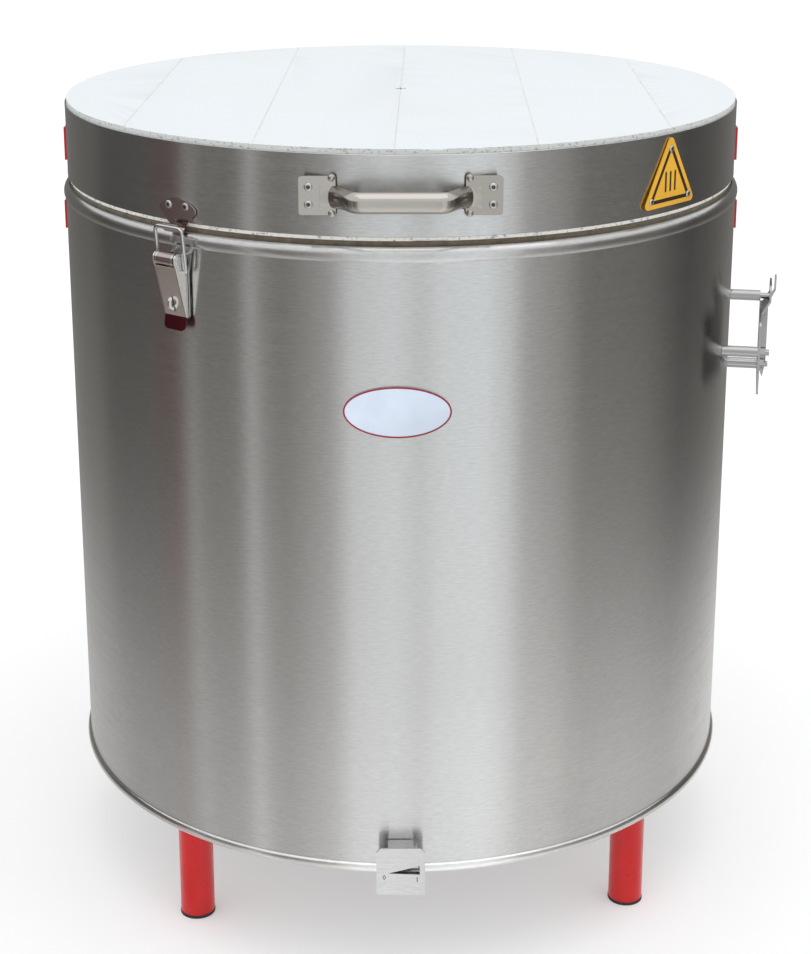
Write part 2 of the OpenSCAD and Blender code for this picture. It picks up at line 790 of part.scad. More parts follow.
module latch_catch() {
    hook = [3.6, 617.5];
    hook_r = 5.8;
    t = 1.5;
    inner = hook[0] - hook_r;
    color("silver") at_latch() {
        translate([0, -inner, 0]) upright(t) difference() {
            union() {
                polygon([[-9, 617.5], [9, 617.5], [21.4, 630], [21.4, 633.2],
                    [-21.4, 633.2], [-21.4, 630]]);
                intersection() {
                    translate([0, 613]) circle(29.4, $fn = 96);
                    translate([-21.4, 630]) square([42.8, 20]);
                }
            }
            for (s = [-1, 1]) translate([s * 10, 635.3]) circle(1.92, $fn = 32);
        }
        latch_side(18) {
            difference() {
                translate(hook) circle(hook_r);
                translate(hook) circle(hook_r - t);
                translate([hook[0] - 10, hook[1]]) square(20);
            }
            translate([hook[0] + hook_r - t, hook[1]]) square([t, 3]);
        }
    }
}

// ---- controller holder, drawn as (across, -out, up) ----
module at_holder() { on_wall(holder_az, shell_r) translate([0, 0, pan_z]) children(); }

module holder_studs() {
    color("silver") for (p = holder_spots) difference() {
        at_holder() translate([p[0], 10, p[1]]) {
            rod_out(5.4, stud_l + 10);
            rod_out(3, stud_l + 10 + holder_t + 9);
        }
        cylinder(r = shell_r + 0.2, h = 900, $fn = 180);
    }
}

module holder_plate() {
    x0 = -68;
    x1 = 24;
    lip = stud_l + 9;
    color("silver") at_holder() difference() {
        union() {
            translate([(x0 + x1) / 2, -stud_l, 410]) upright(holder_t) rounded(x1 - x0, 75, 6);
            intersection() {
                translate([-7, 0, 0]) latch_side(46) polygon([[stud_l, 482], [stud_l + 2, 482],
                    [lip + 2, 497], [lip + 2, 513], [lip, 513], [lip, 498]]);
                translate([-7, 0, 474]) upright(60) rounded(46, 39, 8);
            }
            translate([x1 - 1, 0, 0]) latch_side(2) polygon([[stud_l, 418], [stud_l + 6, 403],
                [stud_l + 9, 418], [stud_l + 9, 483], [stud_l + 16, 497], [stud_l + 16, 513],
                [stud_l + 14, 513], [stud_l + 14, 498], [stud_l + 6, 485], [stud_l, 485]]);
        }
        for (p = holder_spots) translate([p[0], 0, p[1]]) rod_out(3.2, 80);
        translate([holder_spots[0][0] - 5, -80, holder_spots[0][1]]) cube([10, 80, 60]);
    }
}

module holder_nuts() {
    color("silver") at_holder() for (i = [1, 2])
        translate([holder_spots[i][0], -stud_l - holder_t - 0.05, holder_spots[i][1]])
            rotate([90, 0, 0]) difference() {
                cylinder(r = 5.7, h = 5, $fn = 6);
                translate([0, 0, -1]) cylinder(r = 3 + fit, h = 10);
            }
}

// ---- damper ----
module damper_arm() {
    top = pan_z + 35.6;
    low = pan_z - 13;
    reach = arm_y - shell_r - 1.2;
    color("silver") turn(damper_az) difference() {
        union() {
            translate([-arm_w / 2, -arm_y + 1, arm_z]) cube([arm_w, arm_y - 60, arm_t]);
            translate([-14, -70, arm_z]) cube([28, 70, arm_t]);
            translate([0, 0, arm_z]) cylinder(r = 14, h = arm_t);
            translate([0, -arm_y + 1.5, low]) upright(1.5) damper_face(top - low);
            translate([0, -arm_y, top - 1.5]) linear_extrude(1.5)
                polygon([[-12.2, 0], [12.2, 0], [12.2, reach - 2], [10.2, reach],
                    [-10.2, reach], [-12.2, reach - 2]]);
        }
        translate([0, 0, arm_z - 1]) cylinder(r = pivot_r + fit, h = arm_t + 2);
        translate([0, -arm_y + 2, pan_z]) upright(5) polygon([[-12, 9.4], [18, 8], [18, 17.8], [6, 14]]);
    }
}

module damper_face(h) {
    c = 4;
    w = arm_w / 2;
    polygon([[-w, 1], [-w + 1, 0], [w - 1, -1], [w, 0], [w, h - c], [w - c, h], [-w + c, h], [-w, h - c]]);
}

module damper_pivot() {
    color("silver") {
        translate([0, 0, arm_z - 0.4 - 4]) cylinder(r = 9, h = 4, $fn = 6);
        translate([0, 0, arm_z - 1]) cylinder(r = pivot_r, h = pan_z + pan_t + 4 - arm_z + 1);
        translate([0, 0, pan_z + pan_t + 0.1]) cylinder(r = 9, h = 6, $fn = 6);
    }
}

// Strap under the arm that carries it and stops it at both ends of its swing
module damper_guide() {
    half = asin(arm_w / 2 / 290) + 0.4;
    ends = [damper_az - damper_swing - half, damper_az + half];
    color("silver") {
        arc_ring(290, 312, arm_z - 2.5, arm_z - 0.5, ends[0], ends[1]);
        for (s = [0, 1]) turn(ends[s]) mirror([1 - s, 0, 0]) translate([0, -312, 0]) {
            translate([-1, 0, arm_z - 2.5]) cube([3, 22, pan_z - arm_z + 2.4]);
            translate([0, 0, pan_z - 2.1]) cube([18, 22, 2]);
        }
    }
}

shell();
floor_pan();
fibre_wrap();
floor_fibre();
floor_bricks();
for (i = [1 : courses]) brick_course(i);
for (i = [1 : courses]) heating_coil(i);
coil_bushes();
thermocouple();
leg(0);  // front_left_leg
leg(1);  // front_right_leg
leg(2);  // rear_right_leg
leg(3);  // rear_left_leg
foot_caps();
leg_bolts();
terminal_box();
terminal_cover();
cover_screws();
terminal_block();
cable_gland();
body_strap();
body_strap_rivets();
hinge_pin();
hinge_clips();
hinge_stop_bar();
spring_coils();
lid_sensor();
latch_base();
latch_base_rivets();
latch_barrel();
latch_pin();
latch_staple();
oval_badge();
holder_studs();
holder_plate();
holder_nuts();
damper_pivot();
damper_guide();
lid_band();
lid_boards();
lid_strap();
lid_strap_rivets();
spring_lid_legs();
lid_magnet();
lid_handle();
lid_pop_rivets();
heat_sign();
sign_rivets();
latch_catch();
latch_lever();
latch_bail();
damper_arm();
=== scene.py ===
"""Looks of the round glass kiln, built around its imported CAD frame.

Everything is in metres in the frame's own axes: Z up along the drum, front towards -Y, hinge at +Y.
Azimuths are in degrees round Z from the front, positive towards +X.
"""
import json
import math

import bmesh
import bpy
from mathutils import Matrix, Vector, noise


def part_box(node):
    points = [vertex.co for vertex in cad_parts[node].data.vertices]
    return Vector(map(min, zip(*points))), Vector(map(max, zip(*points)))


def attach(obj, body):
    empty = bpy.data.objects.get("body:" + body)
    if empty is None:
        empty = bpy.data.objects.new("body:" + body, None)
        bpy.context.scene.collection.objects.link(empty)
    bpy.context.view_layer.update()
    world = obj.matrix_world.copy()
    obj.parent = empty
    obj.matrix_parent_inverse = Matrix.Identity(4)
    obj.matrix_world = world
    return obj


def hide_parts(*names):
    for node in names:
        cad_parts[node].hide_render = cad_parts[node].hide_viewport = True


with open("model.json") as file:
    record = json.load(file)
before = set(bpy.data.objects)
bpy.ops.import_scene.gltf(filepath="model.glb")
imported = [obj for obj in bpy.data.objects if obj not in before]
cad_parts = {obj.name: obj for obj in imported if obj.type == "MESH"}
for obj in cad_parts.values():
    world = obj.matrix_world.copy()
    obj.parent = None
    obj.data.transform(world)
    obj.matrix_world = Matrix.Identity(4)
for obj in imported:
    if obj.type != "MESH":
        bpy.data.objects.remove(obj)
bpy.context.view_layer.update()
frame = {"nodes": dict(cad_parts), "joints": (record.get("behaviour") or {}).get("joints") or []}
nodes = frame["nodes"]
scene = bpy.context.scene
TAU = 2 * math.pi
MM = 0.001


# ---- places taken from the frame ----
def low(node):
    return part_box(node)[0]


def top(node):
    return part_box(node)[1]


# the photographed bead is slimmer than the CAD bead
BEAD_R = top("shell").x - 2.5 * MM
RIM_R = top("floor_pan").x
BAND_R = top("lid_band").x
LID_R = top("lid_boards").x
WRAP_R = top("fibre_wrap").x
SHEET = 1.2 * MM
WRAP_GAP = 1 * MM
DRUM_R = WRAP_R + SHEET + WRAP_GAP
BEAD_SECTION = 8.5 * MM
PAN_Z = low("floor_pan").z
DRUM_TOP = top("shell").z
BEAD_Z = DRUM_TOP - BEAD_SECTION
LID_Z = low("lid_boards").z
LID_TOP = top("lid_boards").z
BAND_Z = (low("lid_band").z, top("lid_band").z)
HINGE = Vector(next(j["pos_m"] for j in frame["joints"] if j["name"] == "lid_hinge"))
AIR_HOLE = Vector((-0.0382, -0.1963))
AIR_HOLE_R = 13 * MM
BOLT_HOLE_R = 4.2 * MM
LEG_R = 17.15 * MM
LATCH_AZ = -36.0
SIGN_AZ = 46.2
BADGE_AZ = -0.5
SEAM_AZ = 218


def wall(azimuth, radius, height):
    """A place on an upright wall round Z: its X runs across to the right, its Y up and its Z outwards."""
    a = math.radians(azimuth)
    across = Vector((math.cos(a), math.sin(a), 0))
    outward = Vector((math.sin(a), -math.cos(a), 0))
    place = Matrix((across, Vector((0, 0, 1)), outward)).transposed().to_4x4()
    place.translation = outward * radius + Vector((0, 0, height))
    return place


def azimuth_of(point):
    return math.degrees(math.atan2(point.x, -point.y))


def clusters(node, reach=4 * MM):
    """Centres of a node's separate solids, found by walking between vertices closer than reach."""
    left = [v.co.copy() for v in nodes[node].data.vertices]
    found = []
    while left:
        group, queue = [], [left.pop()]
        while queue:
            here = queue.pop()
            group.append(here)
            near = [p for p in left if (p - here).length < reach]
            left = [p for p in left if (p - here).length >= reach]
            queue += near
        lo = Vector(min(p[i] for p in group) for i in range(3))
        hi = Vector(max(p[i] for p in group) for i in range(3))
        found.append((lo + hi) / 2)
    return sorted(found, key=lambda p: (round(p.x, 3), round(p.z, 3)))


# ---- mesh building ----
def new_object(name, bm, material):
    mesh = bpy.data.meshes.new(name)
    bm.to_mesh(mesh)
    bm.free()
    mesh.materials.append(material)
    piece = bpy.data.objects.new(name, mesh)
    scene.collection.objects.link(piece)
    return piece


def finish_piece(name, bm, body, material, replaces=(), crease=35, bevel=0.0):
    """Makes a piece of a bmesh: welded, smooth but for edges over crease degrees, riding on a body."""
    bmesh.ops.remove_doubles(bm, verts=bm.verts, dist=1e-6)
    bmesh.ops.dissolve_degenerate(bm, dist=1e-7, edges=bm.edges)
    bmesh.ops.delete(bm, geom=[e for e in bm.edges if not e.link_faces], context="EDGES")
    bmesh.ops.recalc_face_normals(bm, faces=bm.faces)
    for face in bm.faces:
        face.smooth = True
    for edge in bm.edges:
        edge.smooth = len(edge.link_faces) == 2 and edge.calc_face_angle(0) < math.radians(crease)
    piece = new_object(name, bm, material)
    if bevel:
        add_bevel(piece, bevel)
    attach(piece, body)
    if replaces:
        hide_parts(*replaces)
    return piece


def add_bevel(piece, width):
    rounding = piece.modifiers.new("rounded_edges", "BEVEL")
    rounding.width = width
    rounding.segments = 2
    rounding.limit_method = "ANGLE"
    rounding.angle_limit = math.radians(40)
    rounding.harden_normals = True


def loft(bm, loops, ring=False):
    """Joins equal loops of points into a skin, closed into a ring or else capped at both ends."""
    rows = [[bm.verts.new(p) for p in loop] for loop in loops]
    for one, two in zip(rows, rows[1:] + rows[:1] if ring else rows[1:]):
        for k in range(len(one)):
            bm.faces.new((one[k - 1], one[k], two[k], two[k - 1]))
    if not ring:
        bm.faces.new(rows[0])
        bm.faces.new(rows[-1][::-1])


def lathe(bm, profile, place=Matrix(), steps=48, arc=(0, 360)):
    """Turns a closed profile of (radius, height) points round the place's Z, over an arc in degrees."""
    first, last = arc
    full = last - first >= 360
    count = steps if full else steps + 1
    angles = [math.radians(first + (last - first) * i / steps) for i in range(count)]
    loops = [[place @ Vector((r * math.sin(a), -r * math.cos(a), z)) for r, z in profile] for a in angles]
    loft(bm, loops, ring=full)


def plate(bm, outline, thickness, place=Matrix(), holes=()):
    """A flat plate in the place's XY plane with holes, thickness deep along its Z."""
    edges = []
    for loop in (outline, *holes):
        verts = [bm.verts.new((x, y, 0)) for x, y in loop]
        edges += [bm.edges.new((verts[i - 1], verts[i])) for i in range(len(verts))]
    filled = bmesh.ops.triangle_fill(bm, use_beauty=True, edges=edges)["geom"]
    faces = [g for g in filled if isinstance(g, bmesh.types.BMFace)]
    # dictionaries keep their order, so that the mesh comes out the same each run
    flat = list(dict.fromkeys(v for f in faces for v in f.verts))
    twin = {v: bm.verts.new((v.co.x, v.co.y, thickness)) for v in flat}
    rims = [e for e in dict.fromkeys(e for f in faces for e in f.edges) if len(e.link_faces) == 1]
    for f in faces:
        bm.faces.new([twin[v] for v in f.verts])
    for e in rims:
        a, b = e.verts
        bm.faces.new((a, b, twin[b], twin[a]))
    for v in flat + list(twin.values()):
        v.co = place @ v.co


def box_in(bm, lo, hi, place=Matrix()):
    plate(bm, [(lo[0], lo[1]), (hi[0], lo[1]), (hi[0], hi[1]), (lo[0], hi[1])], hi[2] - lo[2],
          place @ Matrix.Translation((0, 0, lo[2])))


def circle(radius, count=24, centre=(0, 0)):
    return [(centre[0] + radius * math.cos(TAU * i / count), centre[1] + radius * math.sin(TAU * i / count))
            for i in range(count)]


def rounded(width, height, radius, centre=(0, 0)):
    """Outline of a rectangle with round corners."""
    steps = 5
    points = []
    for quarter, (sx, sy) in enumerate(((1, 1), (-1, 1), (-1, -1), (1, -1))):
        cx, cy = centre[0] + sx * (width / 2 - radius), centre[1] + sy * (height / 2 - radius)
        for i in range(steps + 1):
            a = math.radians(90 * quarter + 90 * i / steps)
            points.append((cx + radius * math.cos(a), cy + radius * math.sin(a)))
    return points


def tube(bm, path, radius, sides):
    """Round bar along a path of points, with no twist."""
    path = [Vector(p) for p in path]
    last = len(path) - 1
    turns = [TAU * k / sides for k in range(sides)]
    normal = None
    loops = []
    for i, here in enumerate(path):
        along = (path[min(i + 1, last)] - path[max(i - 1, 0)]).normalized()
        if normal is None:
            normal = along.orthogonal()
        normal = (normal - along * normal.dot(along)).normalized()
        side = along.cross(normal)
        loops.append([here + radius * (normal * math.cos(a) + side * math.sin(a)) for a in turns])
    loft(bm, loops)


def rivet(bm, place, radius, height, shaded_cores=None):
    """Domed rivet head, with the hollow that a pulled mandrel leaves, and the mandrel's end in its bore as a
    separate piece painted near black as shade.
    """
    dome = [(0, -1 * MM), (radius * 0.9, -1 * MM), (radius, 0.1 * height), (radius * 0.94, 0.5 * height),
            (radius * 0.78, 0.82 * height), (radius * 0.58, height)]
    bore = radius * 0.42
    middle = [(bore * 1.1, height * 0.96), (bore, height * 0.7), (bore, height * 0.25), (0, height * 0.2)]
    lathe(bm, dome + middle, place, 24)
    if shaded_cores is not None:
        snug = bore * 0.99
        end = [(0, height * 0.1), (snug, height * 0.1), (snug, height * 0.5), (0, height * 0.42)]
        lathe(shaded_cores, end, place, 16)


# ---- materials ----
class Nodes:
    """A node tree, with short ways to add the nodes that compute numbers and colours."""

    def __init__(self, tree, coordinates="Object"):
        self.tree = tree
        self.where = self.add("ShaderNodeTexCoord").outputs[coordinates]

    def add(self, kind, inputs=(), **settings):
        node = self.tree.nodes.new(kind)
        for key, value in settings.items():
            setattr(node, key, value)
        for key, value in dict(inputs).items():
            if isinstance(value, bpy.types.NodeSocket):
                self.tree.links.new(value, node.inputs[key])
            else:
                node.inputs[key].default_value = value
        return node

    def math(self, operation, *values):
        return self.add("ShaderNodeMath", enumerate(values), operation=operation).outputs[0]

    def vector(self, operation, *values):
        node = self.add("ShaderNodeVectorMath", enumerate(values), operation=operation)
        return node.outputs["Value" if operation in ("LENGTH", "DOT_PRODUCT") else "Vector"]

    def xyz(self, vector):
        return self.add("ShaderNodeSeparateXYZ", {0: vector}).outputs

    def azimuth(self, parts):
        """Azimuth in radians of a place given by its parts."""
        return self.math("ARCTAN2", parts["X"], self.math("MULTIPLY", parts["Y"], -1.0))

    def remap(self, value, lo, hi, to_lo=0.0, to_hi=1.0):
        return self.add("ShaderNodeMapRange", {"Value": value, "From Min": lo, "From Max": hi,
                                               "To Min": to_lo, "To Max": to_hi}).outputs["Result"]

    def blend(self, factor, a, b):
        """Colour between a and b."""
        a, b = ((*c, 1) if isinstance(c, tuple) else c for c in (a, b))
        return self.add("ShaderNodeMix", {0: factor, 6: a, 7: b}, data_type="RGBA").outputs[2]


class Look(Nodes):
    """A material's Principled shader, with short ways to vary it."""

    def __init__(self, name, colour, roughness, metallic=0.0, **constants):
        self.material = bpy.data.materials.new(name)
        self.material.use_nodes = True
        super().__init__(self.material.node_tree)
        self.shader = self.tree.nodes["Principled BSDF"]
        self.set(Base_Color=(*colour, 1), Roughness=roughness, Metallic=metallic, **constants)

    def set(self, **values):
        for key, value in values.items():
            socket = self.shader.inputs[key.replace("_", " ")]
            if isinstance(value, bpy.types.NodeSocket):
                self.tree.links.new(value, socket)
            else:
                socket.default_value = value

    def stretched(self, scale):
        return self.add("ShaderNodeMapping", {"Vector": self.where, "Scale": scale}).outputs[0]

    def round_z(self, around, up):
        """Coordinates wound round Z: around per radian and up per metre."""
        parts = self.xyz(self.where)
        turned = self.math("MULTIPLY", self.azimuth(parts), around)
        risen = self.math("MULTIPLY", parts["Z"], up)
        return self.add("ShaderNodeCombineXYZ", {"X": turned, "Z": risen}).outputs[0]

    def noise(self, where, scale, detail=3.0, roughness=0.55):
        return self.add("ShaderNodeTexNoise", {"Vector": where, "Scale": scale, "Detail": detail,
                                               "Roughness": roughness}).outputs["Fac"]

    def bump(self, height, strength, distance, under=None):
        inputs = {"Height": height, "Strength": strength, "Distance": distance}
        if under is not None:
            inputs["Normal"] = under
        return self.add("ShaderNodeBump", inputs).outputs["Normal"]

    def edge_wear(self, radius=1.5 * MM):
        """0 on flat faces, towards 1 near convex edges."""
        bevel = self.add("ShaderNodeBevel", {"Radius": radius}, samples=4).outputs["Normal"]
        flat = self.add("ShaderNodeNewGeometry").outputs["Normal"]
        return self.remap(self.vector("DOT_PRODUCT", bevel, flat), 0.92, 0.70)


def scaled(colour, by, lift=0.0):
    return tuple(min(1, c * by + lift) for c in colour)


def brushed(name, wound, colour=(0.60, 0.597, 0.587), roughness=0.225):
    """Brushed stainless: fine scratches round the drum, or across a flat part, and faint handling marks."""
    look = Look(name, colour, roughness, 1.0, Anisotropic=0.94, Anisotropic_Rotation=0.25)
    lines = look.round_z(34.0, 620.0) if wound else look.stretched((110.0, 110.0, 620.0))
    bands = look.round_z(4.0, 160.0) if wound else look.stretched((12.0, 12.0, 160.0))
    fine = look.noise(lines, 1.0, 5.0, 0.75)
    coarse = look.noise(bands, 1.0, 3.0)
    cloud = look.noise(look.where, 5.0, 4.0)
    smudge = look.noise(look.where, 22.0, 5.0, 0.7)
    grain = look.blend(look.remap(fine, 0.3, 0.7), scaled(colour, 0.90), scaled(colour, 1.09))
    rough = look.math("ADD", look.remap(coarse, 0.3, 0.7, roughness - 0.02, roughness + 0.02),
                      look.remap(smudge, 0.55, 0.8, 0.0, 0.05))
    look.set(Base_Color=look.blend(look.remap(cloud, 0.42, 0.75, 0.0, 0.35), grain, scaled(colour, 0.86)),
             Roughness=rough,
             Tangent=look.add("ShaderNodeTangent", direction_type="RADIAL", axis="Z").outputs[0],
             Normal=look.bump(fine, 0.11, 0.0001, look.bump(cloud, 0.03, 0.002)))
    return look.material


def polished(name, colour=(0.70, 0.69, 0.68), roughness=0.12):
    """Tumbled bright steel: mirror-like with soft waves and hairline scratches."""
    look = Look(name, colour, roughness, 1.0)
    wave = look.noise(look.where, 60.0, 2.0)
    hair = look.noise(look.stretched((120.0, 120.0, 2400.0)), 1.0, 4.0, 0.7)
    spots = look.noise(look.where, 900.0, 2.0)
    rough = look.math("ADD", look.remap(hair, 0.35, 0.75, roughness - 0.03, roughness + 0.09),
                      look.math("MULTIPLY", look.edge_wear(1.0 * MM), 0.06))
    look.set(Base_Color=look.blend(look.remap(spots, 0.6, 0.8, 0.0, 0.4), colour, scaled(colour, 0.72)),
             Roughness=rough,
             Normal=look.bump(wave, 0.12, 0.0006, look.bump(hair, 0.05, 0.0001)))
    return look.material


def plated(name, colour=(0.60, 0.60, 0.585), roughness=0.34):
    """Zinc-plated steel with its faint mottle."""
    look = Look(name, colour, roughness, 1.0)
    mottle = look.noise(look.where, 420.0, 4.0, 0.65)
    dirt = look.noise(look.where, 90.0, 3.0)
    look.set(Base_Color=look.blend(look.remap(dirt, 0.45, 0.75, 0.0, 0.5), colour, scaled(colour, 0.66)),
             Roughness=look.remap(mottle, 0.3, 0.7, roughness - 0.08, roughness + 0.12),
             Normal=look.bump(mottle, 0.14, 0.0002))
    return look.material


def painted(name, colour, roughness=0.28, worn_to=(0.30, 0.28, 0.27)):
    """Powder coat: orange peel, slight fading and thin wear on its edges."""
    look = Look(name, colour, roughness, Coat_Weight=0.2, Coat_Roughness=0.16, Specular_IOR_Level=0.35)
    peel = look.noise(look.where, 650.0, 2.0)
    fade = look.noise(look.where, 14.0, 4.0)
    chips = look.noise(look.where, 240.0, 4.0, 0.6)
    faded = look.blend(look.remap(fade, 0.35, 0.7), scaled(colour, 0.86), scaled(colour, 1.08))
    wear = look.math("MULTIPLY", look.edge_wear(), look.remap(chips, 0.62, 0.68, 0.0, 0.25))
    look.set(Base_Color=look.blend(wear, faded, worn_to),
             Roughness=look.remap(chips, 0.3, 0.7, roughness - 0.01, roughness + 0.04),
             Normal=look.bump(peel, 0.05, 0.0003))
    return look.material


def firebrick(name, colour, pores=0.35, stain=(0.72, 0.66, 0.55), sides=None):
    """Insulating firebrick: chalky and finely porous, with pits, faint saw lines and stains.

    With sides, upright faces take the first of its two colours low on the lid and the second, a darker grey
    painted as shade, at its top; pits on them are painted darker still as shade in their hollows.
    """
    look = Look(name, colour, 0.93)
    pits = look.add("ShaderNodeTexVoronoi", {"Vector": look.where, "Scale": 420.0}).outputs["Distance"]
    grain = look.noise(look.where, 900.0, 5.0, 0.7)
    patch = look.noise(look.where, 6.0, 5.0, 0.6)
    speck = look.noise(look.where, 260.0, 2.0)
    saw = look.noise(look.stretched((4.0, 260.0, 260.0)), 1.0, 2.0)
    base = look.blend(look.remap(patch, 0.4, 0.72, 0.0, 0.16), colour, stain)
    shade = look.blend(look.remap(speck, 0.70, 0.76, 0.0, 0.5), base, scaled(stain, 0.6))
    if sides:
        # painted shade: upright faces turn from the brick's colour to the side colours, and their pits to a
        # darker grey
        height = look.xyz(look.where)["Z"]
        facing = look.xyz(look.add("ShaderNodeNewGeometry").outputs["Normal"])["Z"]
        upright = look.remap(look.math("ABSOLUTE", facing), 0.35, 0.85, 1.0, 0.0)
        cut = look.blend(look.remap(height, LID_Z + 0.02, LID_TOP - 0.02), *sides)
        holes = look.remap(look.noise(look.where, 330.0, 3.0), 0.56, 0.64, 0.0, 0.75)
        shade = look.blend(upright, shade, look.blend(holes, cut, scaled(sides[1], 0.45)))
    relief = look.math("ADD", look.remap(pits, 0.0, 0.35, 0.0, pores), look.math("MULTIPLY", grain, 0.5))
    look.set(Base_Color=shade, Normal=look.bump(relief, 0.28, 0.0006, look.bump(saw, 0.05, 0.0006)))
    return look.material


def fibre(name, colour):
    """Ceramic fibre felt: matted threads and soft tufts."""
    look = Look(name, colour, 0.95, Sheen_Weight=0.3)
    threads = look.noise(look.stretched((260.0, 260.0, 1100.0)), 1.0, 5.0, 0.75)
    tufts = look.noise(look.where, 120.0, 4.0)
    look.set(Base_Color=look.blend(look.remap(tufts, 0.3, 0.7), scaled(colour, 0.62), colour),
             Normal=look.bump(threads, 0.8, 0.0012, look.bump(tufts, 0.7, 0.003)))
    return look.material


def dull(name, colour, roughness, grain=700.0, metallic=0.0):
    """Rubber, moulded plastic, oxidised wire or fired ceramic: a fine grain and patches of pale dust."""
    look = Look(name, colour, roughness, metallic)
    fine = look.noise(look.where, grain, 4.0, 0.6)
    dust = look.noise(look.where, 30.0, 4.0)
    look.set(Base_Color=look.blend(look.remap(dust, 0.45, 0.8, 0.0, 0.5), colour, scaled(colour, 1.4, 0.02)),
             Roughness=look.remap(fine, 0.3, 0.7, roughness - 0.07, roughness + 0.08),
             Normal=look.bump(fine, 0.25, 0.0003))
    return look.material


STAINLESS = brushed("brushed_stainless", wound=True)
FLAT_STAINLESS = brushed("brushed_stainless_flat", wound=False)
POLISHED = polished("polished_steel")
# the handle's steel is darker than the polished steel as painted shade for the dark reflections in its grip
# and plates, and warm in tone as annealed steel
WARM_SHADED_STEEL = polished("handle_shaded_steel", (0.47, 0.44, 0.40), 0.12)
# steel darkened and tinted red for the catch and barrel: a painted reflection
RED_REFLECTION_STEEL = polished("catch_steel_red_reflection", (0.50, 0.41, 0.40), 0.12)
# the lever's lip steel is tinted dark red: a painted reflection
LIP_RED_REFLECTION_STEEL = polished("lever_lip_red_reflection", (0.16, 0.03, 0.04), 0.14)
LEVER_STEEL = polished("lever_steel", (0.86, 0.835, 0.79), 0.16)
STUD_STEEL = polished("stud_steel", (0.62, 0.62, 0.62), 0.10)
# the holder's studs, nuts and sheet are darker copies of the polished and brushed steel: painted shade for
# the dark reflections they show
HOLDER_SHADED_STEEL = polished("holder_shaded_steel", (0.40, 0.395, 0.39), 0.07)
HOLDER_SHADED_SHEET = brushed("holder_shaded_sheet", wound=False, colour=(0.40, 0.40, 0.39), roughness=0.2)
# the rolled rim is a lighter copy of the brushed stainless: a painted highlight
RIM_HIGHLIGHT_STEEL = brushed("rolled_rim_highlight_steel", wound=True, colour=(0.82, 0.81, 0.79), roughness=0.2)
PLATED = plated("plated_steel")
# near-black mandrel ends: painted shade in the rivets' bores
SHADED_CORE = plated("rivet_mandrel_shade", (0.10, 0.10, 0.10), 0.5)
RED = painted("red_powder_coat", (0.58, 0.007, 0.008))
YELLOW = painted("sign_yellow", (0.80, 0.42, 0.03), 0.35, (0.55, 0.52, 0.45))
BLACK_PAINT = painted("sign_black", (0.03, 0.022, 0.012), 0.4, (0.4, 0.3, 0.1))
BADGE_WHITE = painted("badge_white", (0.68, 0.76, 0.88), 0.22, (0.7, 0.7, 0.7))
BADGE_RED = painted("badge_red", (0.30, 0.015, 0.03), 0.25, (0.5, 0.3, 0.3))
# the lid's upright faces take a beige low down and a grey painted as shade along the top edge
LID_BRICK = firebrick("lid_brick", (0.765, 0.80, 0.82), stain=(0.74, 0.745, 0.72),
                      sides=((0.78, 0.755, 0.70), (0.56, 0.58, 0.56)))
WALL_BRICK = firebrick("wall_brick", (0.80, 0.77, 0.70))
CEMENT = firebrick("brick_cement", (0.80, 0.79, 0.72), 0.6)
# the felt is darkened to brown: painted shade of the gap under the lid, on a beige felt
SHADED_FELT = fibre("fibre_felt_shaded", (0.23, 0.185, 0.125))
WIRE = dull("oxidised_wire", (0.10, 0.085, 0.075), 0.55, 1500.0, 0.6)
PORCELAIN = dull("porcelain", (0.82, 0.79, 0.72), 0.25, 300.0)
RUBBER = dull("rubber", (0.018, 0.017, 0.016), 0.62)
PLASTIC = dull("black_plastic", (0.02, 0.02, 0.022), 0.45, 1400.0)
SPRING = dull("spring_steel", (0.24, 0.23, 0.23), 0.36, 900.0, 1.0)

# ---- CAD nodes whose shape is right: a better material, and rounded edges where they are cut or folded ----
KEPT = {
    FLAT_STAINLESS: ("terminal_box", "terminal_cover", "damper_arm", "damper_guide"),
    HOLDER_SHADED_SHEET: ("holder_plate",),
    POLISHED: ("latch_base", "latch_pin", "latch_staple"),
    # the catch and barrel carry the painted red reflection
    RED_REFLECTION_STEEL: ("latch_catch", "latch_barrel"),
    HOLDER_SHADED_STEEL: ("holder_studs", "holder_nuts"),
    PLATED: ("leg_bolts", "cover_screws", "latch_base_rivets", "damper_pivot", "hinge_pin"),
    RED: ("body_strap", "lid_strap", "hinge_stop_bar"),
    WALL_BRICK: ("floor_bricks", *(f"brick_course_{i}" for i in range(1, 6))),
    SHADED_FELT: ("fibre_wrap", "floor_fibre"),
    PORCELAIN: ("coil_bushes", "terminal_block", "thermocouple"),
    PLASTIC: ("lid_sensor", "lid_magnet", "cable_gland"),
    SPRING: ("spring_lid_legs", "hinge_clips"),
}
# radius in millimetres of the rounding on each node's edges
ROUNDED = {
    "terminal_box": 0.6, "terminal_cover": 0.5, "damper_arm": 0.35, "holder_plate": 0.5, "latch_base": 0.3,
    "latch_catch": 0.3, "body_strap": 0.9, "lid_strap": 0.9, "lid_sensor": 1.2, "lid_magnet": 1.2,
    "floor_bricks": 0.8, "terminal_block": 0.8, "holder_nuts": 0.4, "leg_bolts": 0.4,
}


def dress_nodes():
    for material, names in KEPT.items():
        for name in names:
            mesh = nodes[name].data
            mesh.materials.clear()
            mesh.materials.append(material)
            if name in ROUNDED:
                add_bevel(nodes[name], ROUNDED[name] * MM)


# ---- drum ----
def arc_points(centre, radius, first, last, steps):
    """Points on an arc of a profile, from angle first to last in degrees."""
    return [(centre[0] + radius * math.cos(math.radians(first + (last - first) * i / steps)),
             centre[1] + radius * math.sin(math.radians(first + (last - first) * i / steps)))
            for i in range(steps + 1)]


